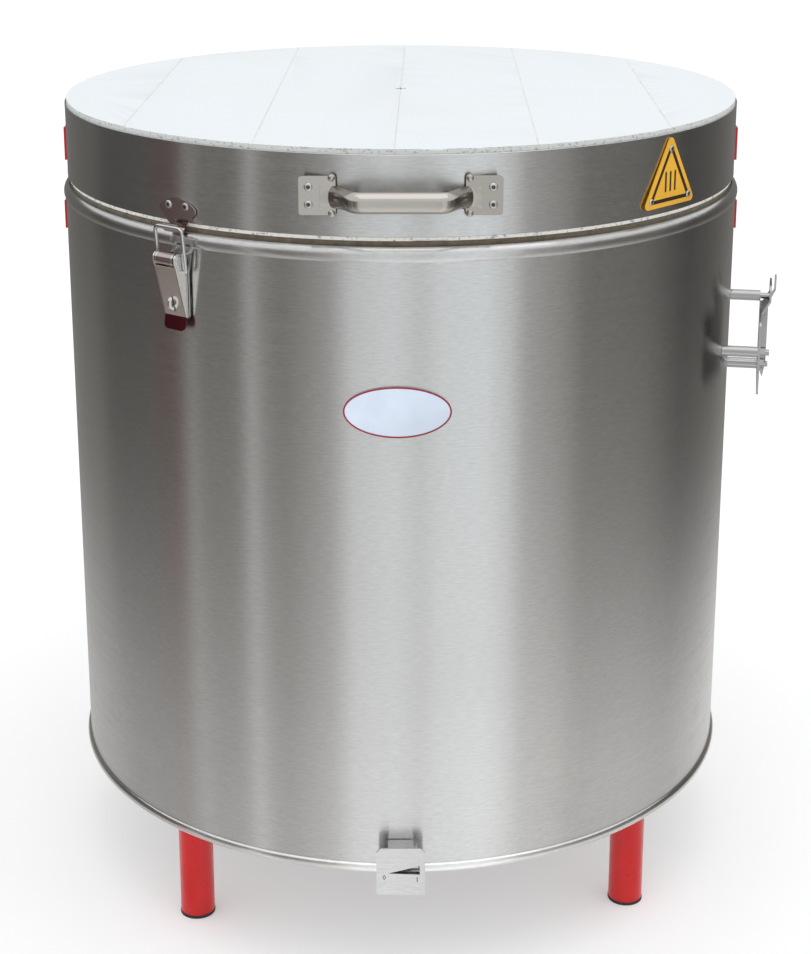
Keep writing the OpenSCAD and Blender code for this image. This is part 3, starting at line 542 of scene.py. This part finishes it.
def drum():
    """The drum's sheet with the rolled bead at its top, and the lapped seam at its back."""
    bm = bmesh.new()
    centre = (BEAD_R - BEAD_SECTION, BEAD_Z)
    bend = math.degrees(math.acos((DRUM_R - centre[0]) / BEAD_SECTION))
    last = bend + 28
    foot, wall_top = low("shell").z, BEAD_Z - 12 * MM
    outer = [(DRUM_R, foot), (DRUM_R, BEAD_Z - 100 * MM), (DRUM_R, wall_top)]
    outer += arc_points(centre, BEAD_SECTION, -bend, last, 20)
    inner = arc_points(centre, BEAD_SECTION - SHEET, last, -bend, 20)
    inner += [(DRUM_R - SHEET, wall_top), (DRUM_R - SHEET, foot)]
    lathe(bm, outer + inner, steps=256)
    finish_piece("drum_shell", bm, "kiln_body", STAINLESS, ("shell",))

    bm = bmesh.new()
    back, face = DRUM_R + 0.05 * MM, DRUM_R + 0.7 * MM
    foot, head = PAN_Z + 12 * MM, BEAD_Z - 14 * MM
    strip = [(back, foot), (face, foot), (face, head), (back, head)]
    lathe(bm, strip, steps=10, arc=(SEAM_AZ - 2, SEAM_AZ + 2))
    for i in range(12):
        rivet(bm, wall(SEAM_AZ, face, PAN_Z + 35 * MM + 47.5 * MM * i), 2.4 * MM, 1.1 * MM)
    finish_piece("drum_seam", bm, "kiln_body", STAINLESS, bevel=0.2 * MM)


def pan():
    """The bottom pan: a flat disc with its bolt and air holes and a rolled rim that holds the drum."""
    bolts = [(p.x, p.y) for p in clusters("leg_bolts", 9 * MM)]
    bm = bmesh.new()
    lip = DRUM_R + 0.3 * MM
    holes = [circle(BOLT_HOLE_R, 16, b) for b in bolts]
    holes += [circle(AIR_HOLE_R, 32, AIR_HOLE), circle(5.05 * MM, 24)]
    plate(bm, circle(lip, 192), 1.5 * MM, Matrix.Translation((0, 0, PAN_Z)), holes)
    finish_piece("pan_disc", bm, "kiln_body", FLAT_STAINLESS, ("floor_pan",))

    bm = bmesh.new()
    radius = 5 * MM
    centre = (RIM_R - radius, PAN_Z + radius)
    roll = arc_points(centre, radius, -88, 76, 20)
    roll += [(lip, roll[-1][1]), (lip, PAN_Z + 1.6 * MM), (centre[0], PAN_Z + 1.6 * MM)]
    lathe(bm, roll, steps=256)
    finish_piece("pan_rim", bm, "kiln_body", RIM_HIGHLIGHT_STEEL)


# ---- lid ----
def lid_band():
    """The lid's sheet band with a narrow folded hem at both edges, and its lap at the back."""
    bm = bmesh.new()
    hem, chamfer = 5 * MM, 0.3 * MM
    inner, sunk = BAND_R - SHEET, BAND_R - 0.105 * MM
    foot, head = BAND_Z
    profile = [(inner, foot), (BAND_R - chamfer, foot), (BAND_R, foot + 0.4 * MM), (BAND_R, foot + hem),
               (sunk, foot + hem + 1 * MM), (sunk, head - hem), (BAND_R, head - hem + 1 * MM),
               (BAND_R, head - 0.4 * MM), (BAND_R - chamfer, head), (inner, head)]
    lathe(bm, profile, steps=256)
    finish_piece("band_sheet", bm, "lid", STAINLESS, ("lid_band",))
    bm = bmesh.new()
    face, foot, head = BAND_R + 0.35 * MM, foot + 1 * MM, head - 1 * MM
    lathe(bm, [(BAND_R, foot), (face, foot), (face, head), (BAND_R, head)], steps=8, arc=(214, 217))
    finish_piece("band_lap", bm, "lid", STAINLESS)


BOARD_W = 125 * MM
BOARD_GAP = 0.6 * MM
BOARD_TURN = Matrix.Rotation(math.radians(-0.9), 4, "Z")


def board_outline(x0, x1, radius):
    """Outline of the part of a disc between x0 and x1, with its points about a step apart."""
    step = 3.5 * MM
    x0, x1 = max(x0, -radius), min(x1, radius)
    first, last = math.acos(x1 / radius), math.acos(x0 / radius)
    count = max(4, int((last - first) * radius / step))
    turns = [first + (last - first) * i / count for i in range(count + 1)]
    far = [(radius * math.cos(a), radius * math.sin(a)) for a in turns]
    near = [(x, -y) for x, y in reversed(far)]
    points = []
    for one, two in ((far, near), (near, far)):
        points += one
        x, start = one[-1]
        reach = two[0][1] - start
        parts = int(abs(reach) / step)
        points += [(x, start + reach * k / parts) for k in range(1, parts)]
    return points


def chip(x, y, seed):
    """How far a board's edge is broken back: a fine crumble and a few larger bites, less along joints."""
    crumble = abs(noise.noise(Vector((x * 210, y * 210, seed))))
    bite = max(0.0, noise.noise(Vector((x * 46, y * 46, seed + 9))) - 0.30)
    share = 1.0 if math.hypot(x, y) > LID_R - 1 * MM else 0.35
    return share * (0.4 + 1.0 * crumble + 6.0 * bite) * MM


def inset(outline, depths):
    """Moves each point of an outline inwards by its depth."""
    moved = []
    count = len(outline)
    for i, (x, y) in enumerate(outline):
        ahead, behind = outline[(i + 1) % count], outline[i - 1]
        along = Vector((ahead[0] - behind[0], ahead[1] - behind[1])).normalized()
        moved.append((x - along.y * depths[i], y + along.x * depths[i]))
    return moved


def lid_boards():
    """Six firebrick boards with crumbled edges, and the cement in their joints."""
    for i in range(-3, 3):
        bm = bmesh.new()
        outline = board_outline(i * BOARD_W + BOARD_GAP / 2, (i + 1) * BOARD_W - BOARD_GAP / 2, LID_R)
        rise = 0.12 * MM * math.sin(i * 2.3)
        upper = [chip(x, y, i + 20) for x, y in outline]
        lower = [chip(x, y, i + 60) for x, y in outline]
        shoulder = inset(outline, [d * 0.35 for d in upper])
        rings = [
            [(x, y, LID_Z) for x, y in inset(outline, [d * 0.8 for d in lower])],
            [(x, y, LID_Z + d * 0.9) for (x, y), d in zip(outline, lower)],
            [(x, y, LID_TOP - d) for (x, y), d in zip(outline, upper)],
            [(x, y, LID_TOP - d * 0.3) for (x, y), d in zip(shoulder, upper)],
            [(x, y, LID_TOP - 0.15 * MM + rise) for x, y in inset(outline, upper)],
        ]
        loft(bm, [[BOARD_TURN @ Vector(p) for p in ring] for ring in rings])
        finish_piece(f"lid_board_{i + 4}", bm, "lid", LID_BRICK, crease=50)
    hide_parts("lid_boards")

    bm = bmesh.new()
    for i in range(-2, 3):
        x = i * BOARD_W
        reach = math.sqrt(LID_R ** 2 - x ** 2) - 0.5 * MM
        loops = []
        for k in range(121):
            y = -reach + 2 * reach * k / 120
            wobble = noise.noise(Vector((x * 30, y * 60, 3.0)))
            half = (0.36 + 0.20 * abs(wobble)) * MM
            height = LID_TOP - (0.34 + 0.20 * wobble) * MM
            section = ((-half, LID_Z + 1 * MM), (half, LID_Z + 1 * MM), (half, height), (-half, height))
            loops.append([BOARD_TURN @ Vector((x + dx, y, z)) for dx, z in section])
        loft(bm, loops)
    finish_piece("lid_cement", bm, "lid", CEMENT)

    bm = bmesh.new()
    spot = Matrix.Translation((0, 0, LID_TOP - 0.12 * MM))
    for k in range(4):
        arm = Matrix.Translation(((2.8 + 0.8 * (k % 2)) * MM, 0, 0))
        turned = Matrix.Rotation(math.radians(90 * k + 4), 4, "Z")
        plate(bm, rounded(5.0 * MM, 0.8 * MM, 0.35 * MM), 0.22 * MM, spot @ (turned @ arm))
    finish_piece("centre_mark", bm, "lid", SHADED_FELT)


# ---- handle ----
def handle():
    """Handle of pressed sheet: a hollow bowed grip that runs out flat onto two riveted end plates."""
    box_lo, box_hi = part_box("lid_handle")
    middle = (box_lo.z + box_hi.z) / 2
    grip_z = middle - 1.3 * MM
    front, root = -box_lo.y, BAND_R - 0.5 * MM
    straight, bend, slope = 34 * MM, 16 * MM, math.radians(58)
    crown, depth, sheet = 9.4 * MM, 7.0 * MM, 1.6 * MM

    # right half of the grip's path as (across, outward, lean): straight, bent, sloping and run out
    path = [(straight * k / 6, front, 0.0) for k in range(6)]
    for k in range(11):
        lean = slope * k / 10
        path.append((straight + bend * math.sin(lean), front - bend * (1 - math.cos(lean)), lean))
    x1, y1, _ = path[-1]
    run = (y1 - root - 1.2 * MM) / math.sin(slope)
    for k in range(1, 6):
        along = run * k / 5
        path.append((x1 + along * math.cos(slope), y1 - along * math.sin(slope), slope))
    foot = path[-1][0]
    path += [(foot + 3.0 * MM, root + 0.9 * MM, slope * 0.5), (foot + 7.5 * MM, root + 0.6 * MM, 0.1)]

    spread = math.acos(1 - depth / crown)
    shares = [-1 + 2 * j / 14 for j in range(15)]
    loops = []
    for x, out, lean in [(-x, out, -a) for x, out, a in reversed(path[1:])] + path:
        flare = max(0.0, (abs(x) - foot + 10 * MM) / (17.5 * MM))
        flat = min(1.0, flare) ** 1.5
        half = crown * (1 + 0.45 * flat ** 2)
        sag = depth * (1 - 0.86 * flat)
        outward = Vector((math.sin(lean), -math.cos(lean), 0))
        section = []
        for inner in (0, 1):
            for t in (reversed(shares) if inner else shares):
                up = half * math.sin(t * spread) / math.sin(spread) * (1 - 0.12 * inner)
                back = sag * (1 - math.cos(t * spread)) / (1 - math.cos(spread))
                deep = back + inner * sheet * (1 - 0.4 * abs(t))
                section.append(Vector((x, -out, grip_z + up)) - outward * deep)
        loops.append(section)
    bm = bmesh.new()
    loft(bm, loops)

    thick, skirt = 1.5 * MM, 0.7 * MM
    nub = [(0, -1), (3.6, -1), (3.2, 0.9), (1.7, 2.0), (0, 2.3)]
    for side in (-1, 1):
        place = wall(0, root, middle) @ Matrix.Translation((side * 72.4 * MM, 0, 0))
        holes = [circle(1.8 * MM, 16, (side * 7.8 * MM, z * MM)) for z in (-7.7, 7.7)]
        plate(bm, rounded(32.4 * MM, 34.4 * MM, 2.6 * MM), -thick, place, holes)
        for z in (-1, 1):
            lo = (-13.4 * MM, (z * 16.2 - 0.8) * MM, -5.5 * MM)
            hi = (13.4 * MM, (z * 16.2 + 0.8) * MM, -0.5 * MM)
            box_in(bm, lo, hi, place)
            corner = place @ Matrix.Translation((-side * 12.6 * MM, z * 15.6 * MM, -0.4 * MM))
            lathe(bm, [(r * MM, h * MM) for r, h in nub], corner, 20)
        end = side * 15.3 * MM
        box_in(bm, (end - skirt, -14 * MM, -9 * MM), (end + skirt, 14 * MM, -0.5 * MM), place)
    finish_piece("handle_pressing", bm, "lid", WARM_SHADED_STEEL, ("lid_handle",), bevel=0.35 * MM)


def rivets():
    """Rivet heads, one at each solid of the frame's rivet nodes."""
    for node, body, radius, height in (
            ("lid_pop_rivets", "lid", 3.9, 1.9), ("sign_rivets", "lid", 3.2, 1.6),
            ("body_strap_rivets", "kiln_body", 5.0, 2.4), ("lid_strap_rivets", "lid", 5.0, 2.4)):
        bm, shaded_cores = bmesh.new(), bmesh.new()
        for spot in clusters(node):
            azimuth = azimuth_of(spot)
            # those of one part stand parallel to each other
            if node == "lid_pop_rivets":
                azimuth = 0 if azimuth > LATCH_AZ / 2 else LATCH_AZ
            elif node == "sign_rivets":
                azimuth = SIGN_AZ
            place = wall(azimuth, 0, 0)
            face = max((place.inverted() @ v.co).z for v in nodes[node].data.vertices
                       if (v.co - spot).length < 7 * MM)
            local = place.inverted() @ spot
            rivet(bm, place @ Matrix.Translation((local.x, local.y, face - height * MM)), radius * MM,
                  height * MM, shaded_cores)
        finish_piece(node.replace("rivets", "rivet_heads"), bm, body, PLATED, (node,))
        # the mandrel ends in the bores, painted near black as shade
        finish_piece(node.replace("rivets", "rivet_shaded_cores"), shaded_cores, body, SHADED_CORE)


# ---- sign and badge ----
def rounded_triangle(side, radius, centre_y, shrink=0.0):
    """Outline of an upright triangle with round corners, drawn in by shrink."""
    steps = 6
    inner = side - 2 * math.sqrt(3) * (radius + shrink)
    foot = centre_y - inner / (2 * math.sqrt(3))
    core = [(0, centre_y + inner / math.sqrt(3)), (-inner / 2, foot), (inner / 2, foot)]
    points = []
    for (x, y), start in zip(core, (30, 150, 270)):
        turns = [math.radians(start + 120 * k / steps) for k in range(steps + 1)]
        points += [(x + radius * math.cos(a), y + radius * math.sin(a)) for a in turns]
    return points


def sign():
    """Triangular yellow plate with a black line inside its edge and three plain bars."""
    side, print_t = 77.5 * MM, 0.14 * MM
    centre_y = side / (2 * math.sqrt(3))
    place = wall(SIGN_AZ, BAND_R + 0.4 * MM, low("heat_sign").z)
    bm = bmesh.new()
    plate(bm, rounded_triangle(side, 4 * MM, centre_y), 1.5 * MM, place)
    finish_piece("sign_plate", bm, "lid", YELLOW, ("heat_sign",), bevel=0.35 * MM)

    bm = bmesh.new()
    above = place @ Matrix.Translation((0, 0, 1.45 * MM))
    plate(bm, rounded_triangle(side, 2.2 * MM, centre_y, 4.4 * MM), print_t, above,
          [rounded_triangle(side, 0.8 * MM, centre_y, 7.9 * MM)])
    for x in (-7, 0, 7):
        plate(bm, rounded(2.4 * MM, 19 * MM, 1.1 * MM, (x * MM, centre_y + 0.5 * MM)), print_t, above)
    finish_piece("sign_print", bm, "lid", BLACK_PAINT)


def oval_skin(bm, height, width, tall, radius, thick, rim=0.0):
    """An oval sheet bent round the drum, or only its rim when that is above 0."""
    count = 96
    rings = [(width * s / 2, tall * s / 2) for s in (1.0, 0.97, 0.9, 0.75, 0.5, 0.25, 0.02)]
    if rim:
        rings = [(width / 2, tall / 2), (width / 2 - rim, tall / 2 - rim)]
    layers = []
    for layer in (0, thick):
        rows = []
        for k, (half_width, half_tall) in enumerate(rings):
            lift = layer - (0.35 * thick if layer and k == 0 and not rim else 0)
            row = []
            for i in range(count):
                x, y = half_width * math.cos(TAU * i / count), half_tall * math.sin(TAU * i / count)
                azimuth = BADGE_AZ + math.degrees(x / radius)
                row.append(bm.verts.new(wall(azimuth, radius + lift, height + y).translation))
            rows.append(row)
        layers.append(rows)
        for one, two in zip(rows, rows[1:]):
            for i in range(count):
                bm.faces.new((one[i - 1], one[i], two[i], two[i - 1]))
        if not rim:
            bm.faces.new(rows[-1])
    for edge in ((0, -1) if rim else (0,)):
        under, over = (rows[edge] for rows in layers)
        for i in range(count):
            bm.faces.new((under[i - 1], under[i], over[i], over[i - 1]))


def badge():
    """Plain white oval badge with a thin red line round its edge."""
    lo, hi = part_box("oval_badge")
    height, tall = (lo.z + hi.z) / 2, hi.z - lo.z
    width = hi.x - lo.x
    bm = bmesh.new()
    oval_skin(bm, height, width, tall, DRUM_R + 0.3 * MM, 1.2 * MM)
    finish_piece("badge_plate", bm, "kiln_body", BADGE_WHITE, ("oval_badge",))
    bm = bmesh.new()
    proud = 0.2 * MM
    oval_skin(bm, height, width + proud, tall + proud, DRUM_R + 0.9 * MM, 0.75 * MM, rim=1.5 * MM)
    finish_piece("badge_keyline", bm, "kiln_body", BADGE_RED)


# ---- legs ----
def legs():
    """Four red tube legs with bolted flanges and welds, on ribbed rubber feet."""
    feet = clusters("foot_caps", 12 * MM)
    for name in ("front_left", "front_right", "rear_right", "rear_left"):
        node = f"{name}_leg"
        lo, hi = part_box(node)
        foot = min(feet, key=lambda p: (p - (lo + hi) / 2).length)
        bm = bmesh.new()
        flange_t = 4 * MM
        flange_z = hi.z - flange_t
        inner = LEG_R - 2.6 * MM
        stem = [(inner, lo.z), (LEG_R - 0.4 * MM, lo.z), (LEG_R, lo.z + 0.5 * MM), (LEG_R, flange_z - 3 * MM)]
        weld = [(LEG_R + 0.8 * MM, flange_z - 1.6 * MM), (LEG_R + 2.6 * MM, flange_z - 0.2 * MM),
                (LEG_R + 3 * MM, flange_z + 0.1 * MM), (inner, flange_z + 0.1 * MM)]
        lathe(bm, stem + weld, Matrix.Translation((foot.x, foot.y, 0)), 64)
        place = wall(azimuth_of(foot), math.hypot(foot.x, foot.y), flange_z)
        flat = place @ Matrix.Rotation(math.radians(-90), 4, "X")
        holes = [circle(BOLT_HOLE_R, 16, (x * MM, y * MM)) for x in (-24, 24) for y in (-4, 20)]
        plate(bm, rounded(64 * MM, 56 * MM, 5 * MM, (0, 8 * MM)), flange_t, flat, holes)
        finish_piece(f"{name}_red_leg", bm, "kiln_body", RED, (node,), bevel=0.4 * MM)

    bm = bmesh.new()
    outer, bore = LEG_R + 0.5 * MM, LEG_R + 0.1 * MM
    foot_top, socket_z = 3.6 * MM, 2.7 * MM
    ribs = [(outer - (0.3 * MM if k % 2 else 0), 1.2 * MM + 0.7 * MM * k) for k in range(4)]
    cap = [(0, 0), (outer - 1.2 * MM, 0), (outer - 0.2 * MM, 0.5 * MM)] + ribs
    cap += [(outer - 0.3 * MM, foot_top), (bore, foot_top), (bore, socket_z), (0, socket_z)]
    for foot in feet:
        lathe(bm, cap, Matrix.Translation((foot.x, foot.y, 0)), 64)
    finish_piece("rubber_feet", bm, "kiln_body", RUBBER, ("foot_caps",))


# ---- latch: lever and wire bail ----
def latch_place():
    return wall(LATCH_AZ, DRUM_R, PAN_Z)


def side_strip(bm, outline, x0, x1, place):
    """A flat shape drawn as (out, up), standing across the place from x0 to x1."""
    upright = Matrix(((0, 0, 1, 0), (0, 1, 0, 0), (1, 0, 0, 0), (0, 0, 0, 1)))
    plate(bm, outline, x1 - x0, place @ upright @ Matrix.Translation((0, 0, x0)))


def latch_lever():
    """Folded lever: a slotted face between two cheeks, and a turned-out lip with round corners."""
    half, sheet = 13 * MM, 1.5 * MM
    head, foot = Vector((0, 582.5 * MM, 18 * MM)), Vector((0, 534.5 * MM, 5.6 * MM))
    pivot = (14 * MM, 589 * MM)
    bm = bmesh.new()
    place = latch_place()
    cheek = [(head.z, head.y), (foot.z, foot.y), (4.3 * MM, foot.y), (4.3 * MM, 572 * MM)]
    cheek += arc_points(pivot, 6 * MM, 150, -30, 12)
    for x0 in (-half, half - sheet):
        side_strip(bm, cheek, x0, x0 + sheet, place)
    down = (foot - head).normalized()
    across = Vector((1, 0, 0))
    length = (foot - head).length
    face = Matrix((across, -down, across.cross(-down))).transposed().to_4x4()
    face.translation = foot
    slot = rounded(3.6 * MM, 15.4 * MM, 1.2 * MM, (0, 12 * MM))
    edge = half - 0.02 * MM
    plate(bm, [(-edge, 0), (edge, 0), (edge, length), (-edge, length)], -sheet, place @ face, [slot])
    finish_piece("lever_pressing", bm, "latch_lever", LEVER_STEEL, ("latch_lever",),
                 bevel=0.3 * MM)

    bm = bmesh.new()
    lip = []
    for k in range(9):
        t = k / 8
        corner = max(0.0, (t - 0.6) / 0.4)
        width = half - 4.2 * MM * (1 - math.sqrt(max(0.0, 1 - corner ** 2)))
        out = foot.z + 2.6 * MM * t ** 1.3
        up = foot.y - 13.0 * MM * t
        section = ((-width, out), (width, out), (width, out - sheet), (-width, out - sheet))
        lip.append([place @ Vector((x, up, z)) for x, z in section])
    loft(bm, lip)
    finish_piece("lever_lip", bm, "latch_lever", LIP_RED_REFLECTION_STEEL, bevel=0.3 * MM)


def latch_bail():
    """Bent wire bail, from its ends in the lever's cheeks up to the cross bar behind the hook."""
    start, end = Vector((0, 577 * MM, 7.5 * MM)), Vector((0, 617.8 * MM, 12 * MM))
    half, bend = 16 * MM, 5 * MM
    lean = (end - start).normalized()
    reach = (end - start).length
    x_and_up = [(11 * MM, 0), (half - 1.5 * MM, 0), (half - 0.3 * MM, 0.6 * MM)]
    x_and_up += [(half, up * MM) for up in (2, 8, 16, 24, 30, 34)]
    x_and_up += arc_points((half - bend, reach - bend), bend, 0, 90, 6)
    x_and_up += [(-x, up) for x, up in reversed(x_and_up)]
    place = latch_place()
    bm = bmesh.new()
    tube(bm, [place @ (start + Vector((x, 0, 0)) + lean * up) for x, up in x_and_up], 1.8 * MM, 14)
    finish_piece("bail_wire", bm, "latch_bail", STUD_STEEL, ("latch_bail",))


# ---- damper marks ----
def ellipse(width, height, centre):
    return [(centre[0] + width * math.cos(TAU * i / 24), centre[1] + height * math.sin(TAU * i / 24))
            for i in range(24)]


def damper_marks():
    """The numerals 0 and 1 beside the damper's wedge slot, as fine dark strokes."""
    depth = 0.12 * MM
    place = wall(0, -low("damper_arm").y - 0.02 * MM, PAN_Z)
    bm = bmesh.new()
    zero = (-15.6 * MM, 5.2 * MM)
    plate(bm, ellipse(1.35 * MM, 2.2 * MM, zero), depth, place, [ellipse(0.75 * MM, 1.5 * MM, zero)])
    one = [(14.9, 0.9), (16.3, 0.9), (16.3, 1.5), (15.95, 1.5), (15.95, 5.3), (15.4, 5.3),
           (14.7, 4.6), (14.9, 4.2), (15.3, 4.5), (15.3, 1.5), (14.9, 1.5)]
    plate(bm, [(x * MM, y * MM) for x, y in one], depth, place)
    finish_piece("damper_numerals", bm, "damper", BLACK_PAINT)


# ---- inside and hinge ----
def springs():
    """Torsion springs wound on the hinge pin, each with its leg down to the stop bar."""
    wire_r, mean, turns, per_turn = 1.9 * MM, 9.75 * MM, 13, 14
    start, length = 14.5 * MM, 55 * MM
    count = turns * per_turn
    coil = []
    for i in range(count + 1):
        a = TAU * i / per_turn
        coil.append(HINGE + Vector((start + length * i / count, mean * math.cos(a), mean * math.sin(a))))
    path = [Vector((coil[0].x, HINGE.y + mean, low("spring_coils").z))] + coil
    bm = bmesh.new()
    for side in (-1, 1):
        tube(bm, [Vector((side * p.x, p.y, p.z)) for p in path], wire_r, 10)
    finish_piece("torsion_springs", bm, "kiln_body", SPRING, ("spring_coils",))


def heating_wires():
    """Wound element wire in the wall's grooves, with straight tails and links."""
    wire_r, coil_r, per_turn, pitch = 1.15 * MM, 5.3 * MM, 8, 8.5 * MM
    link_az, upper_az, lower_az = 174.0, 186.0, 190.5
    tail_r = 378 * MM
    for i in range(1, 6):
        node, course = f"heating_coil_{i}", f"brick_course_{i}"
        ring_r = top(node).x - 6.5 * MM
        foot = low(course).z
        rise = (top(course).z - foot + 0.3 * MM) / 4
        middle = foot + 2 * rise
        tail_z = foot + 10 * MM
        bm = bmesh.new()
        for row, first in ((middle + rise, upper_az), (middle - rise, lower_az)):
            span = 360 - first + link_az
            turns = int(math.radians(span) * ring_r / pitch)
            wound = []
            for k in range(turns * per_turn + 1):
                a = math.radians(first + span * (k / (turns * per_turn)))
                r = ring_r + coil_r * math.cos(TAU * k / per_turn)
                z = row + coil_r * math.sin(TAU * k / per_turn)
                wound.append(Vector((r * math.sin(a), -r * math.cos(a), z)))
            at = wall(first, ring_r, 0)
            drop = [at @ Vector((0, z, 0)) for z in (tail_z, tail_z + 4 * MM, row - 8 * MM)]
            out = [at @ Vector((0, tail_z, r)) for r in (tail_r - ring_r, 100 * MM, 4 * MM)]
            tube(bm, out + drop + wound, wire_r, 6)
        link = wall(link_az, ring_r, 0)
        tube(bm, [link @ Vector((0, z, 0)) for z in (middle - rise, middle, middle + rise)], wire_r, 8)
        finish_piece(f"element_wire_{i}", bm, "kiln_body", WIRE, (node,))


# ---- stage ----
CAMERA_HEIGHT = 1.1175
CAMERA_BACK = 2.0089
CAMERA_PITCH = 16.03
LENS = 74.32
SHIFT_X, SHIFT_Y = 0.005, -0.1436


def camera():
    data = bpy.data.cameras.new("camera")
    data.lens = LENS
    data.sensor_width = 36
    data.shift_x, data.shift_y = SHIFT_X, SHIFT_Y
    data.clip_start, data.clip_end = 0.05, 100
    eye = bpy.data.objects.new("camera", data)
    eye.location = (0, -CAMERA_BACK, CAMERA_HEIGHT)
    eye.rotation_euler = (math.radians(90 - CAMERA_PITCH), 0, 0)
    scene.collection.objects.link(eye)
    scene.camera = eye


def stage_piece(name, bm, material):
    for face in bm.faces:
        face.smooth = True
    piece = new_object(name, bm, material)
    return piece


def floor():
    look = Look("pale_floor", (0.76, 0.76, 0.76), 0.9, Emission_Color=(1, 1, 1, 1), Emission_Strength=0.28)
    look.set(Base_Color=look.blend(look.noise(look.where, 3.0), (0.75, 0.75, 0.75), (0.78, 0.78, 0.78)))
    bm = bmesh.new()
    side, thick = 40, 0.02
    plate(bm, [(-side, -side), (side, -side), (side, side), (-side, side)], thick,
          Matrix.Translation((0, 0, -thick)))
    stage_piece("floor", bm, look.material)


# Radius of the studio's screens round the kiln, and their light as (azimuth, brightness, redness)
FAR = 1.3
SCREENS = [
    (-180, 0.36, 0), (-135, 0.28, 0), (-112, 0.25, 0), (-104, 0.17, 0), (-82, 0.17, 0), (-76, 0.18, 0.15),
    (-70, 0.20, 0.15), (-67, 0.32, 0), (-64, 0.48, 0), (-61, 0.29, 0), (-50, 0.30, 0), (-47, 0.37, 0),
    (-44, 0.66, 0), (-40, 0.38, 0), (-34, 0.32, 0), (-25, 0.47, 0), (-20, 0.55, 0), (-14, 0.86, 0),
    (-2, 0.96, 0), (6, 0.85, 0), (11, 0.96, 0), (24, 1.0, 0), (32, 0.84, 0), (36, 0.60, 0), (49, 0.45, 0),
    (55, 0.31, 0), (78, 0.28, 0), (91, 0.19, 0), (98, 0.14, 0), (112, 0.19, 0), (135, 0.30, 0),
    (180, 0.36, 0),
]


def screens():
    """A ring of lit and dark screens that only polished and brushed metal reflects."""
    material = bpy.data.materials.new("studio_screens")
    material.use_nodes = True
    material.node_tree.nodes.clear()
    studio = Nodes(material.node_tree)
    parts = studio.xyz(studio.where)
    ramp = studio.add("ShaderNodeValToRGB")
    stops = ramp.color_ramp.elements
    while len(stops) < len(SCREENS):
        stops.new(0.5)
    for stop, (azimuth, level, red) in zip(stops, SCREENS):
        stop.position = (azimuth + 180) / 360
        tint = (1 + 0.3 * red, 0.94 + 0.09 * level - red, 0.87 + 0.18 * level - red)
        stop.color = (*(level * t for t in tint), 1)

    # on the ground the screens' azimuths close up towards the kiln, so that their reflections stay upright
    across = studio.vector("LENGTH", studio.vector("MULTIPLY", studio.where, (1, 1, 0)))
    spread = 2 + DRUM_R / (CAMERA_BACK - DRUM_R)
    reach = studio.math("MULTIPLY_ADD", across, spread, DRUM_R * (1 - spread))
    widened = studio.math("MULTIPLY", studio.azimuth(parts), studio.math("DIVIDE", across, reach))
    even = (spread * FAR - DRUM_R * (spread - 1)) / FAR
    share = studio.remap(studio.math("MULTIPLY", widened, even), -math.pi, math.pi)
    studio.tree.links.new(share, ramp.inputs["Fac"])

    # the screens darken upwards, and the ground near the kiln is lighter than they are
    level = ramp.outputs["Color"]
    slope = studio.vector("MULTIPLY_ADD", level, (0.50,) * 3, (0.46,) * 3)
    upper = studio.vector("MULTIPLY", slope, level)
    right = studio.math("MULTIPLY", studio.remap(parts["X"], 0.1, 0.5), 0.22)
    near_level = studio.vector("MULTIPLY_ADD", level, (0.80,) * 3, (0.38,) * 3)
    ground = studio.vector("ADD", near_level, right)
    standing = studio.blend(studio.remap(parts["Z"], 0.0, 0.42), level, upper)
    lifted = studio.blend(studio.remap(across, FAR, 0.60), standing, ground)
    glow = studio.add("ShaderNodeEmission", {"Color": lifted})
    studio.add("ShaderNodeOutputMaterial", {"Surface": glow.outputs[0]})
    material.cycles.emission_sampling = "NONE"

    bm = bmesh.new()
    near, middle, high, thick = 0.352, 0.6, 1.15, 0.02
    profile = [(near, 0.004), (FAR * 0.8, 0.006), (FAR, 0.05), (FAR, middle), (FAR, high)]
    profile += [(FAR + thick, high), (FAR + thick, 0.0), (near, 0.0)]
    lathe(bm, profile, steps=128)
    ring = stage_piece("studio_screens", bm, material)
    ring.visible_camera = False
    ring.visible_diffuse = False
    ring.visible_shadow = False
    ring.visible_transmission = False


def light():
    """A bright even sky, a little darker below, and a soft lamp overhead."""
    world = bpy.data.worlds.new("studio")
    scene.world = world
    world.use_nodes = True
    sky = Nodes(world.node_tree, "Generated")
    ramp = sky.add("ShaderNodeValToRGB", {"Fac": sky.xyz(sky.where)["Z"]})
    below, above = ramp.color_ramp.elements
    below.position, above.position = 0.0, 0.9
    below.color, above.color = (0.82, 0.82, 0.82, 1), (1.0, 1.01, 1.03, 1)
    background = sky.tree.nodes["Background"]
    sky.tree.links.new(ramp.outputs["Color"], background.inputs["Color"])
    background.inputs["Strength"].default_value = 1.06

    data = bpy.data.lights.new("top_softbox", "AREA")
    data.shape = "RECTANGLE"
    data.size, data.size_y = 2.4, 2.4
    data.energy = 10
    lamp = bpy.data.objects.new("top_softbox", data)
    lamp.location = (0.3, -0.6, 3.2)
    lamp.rotation_euler = (Vector((0, 0, 0.6)) - lamp.location).to_track_quat("-Z", "Y").to_euler()
    scene.collection.objects.link(lamp)
    scene.view_settings.view_transform = "Standard"


camera()
dress_nodes()
drum()
pan()
lid_band()
lid_boards()
handle()
rivets()
sign()
badge()
legs()
latch_lever()
latch_bail()
damper_marks()
springs()
heating_wires()
floor()
screens()
light()
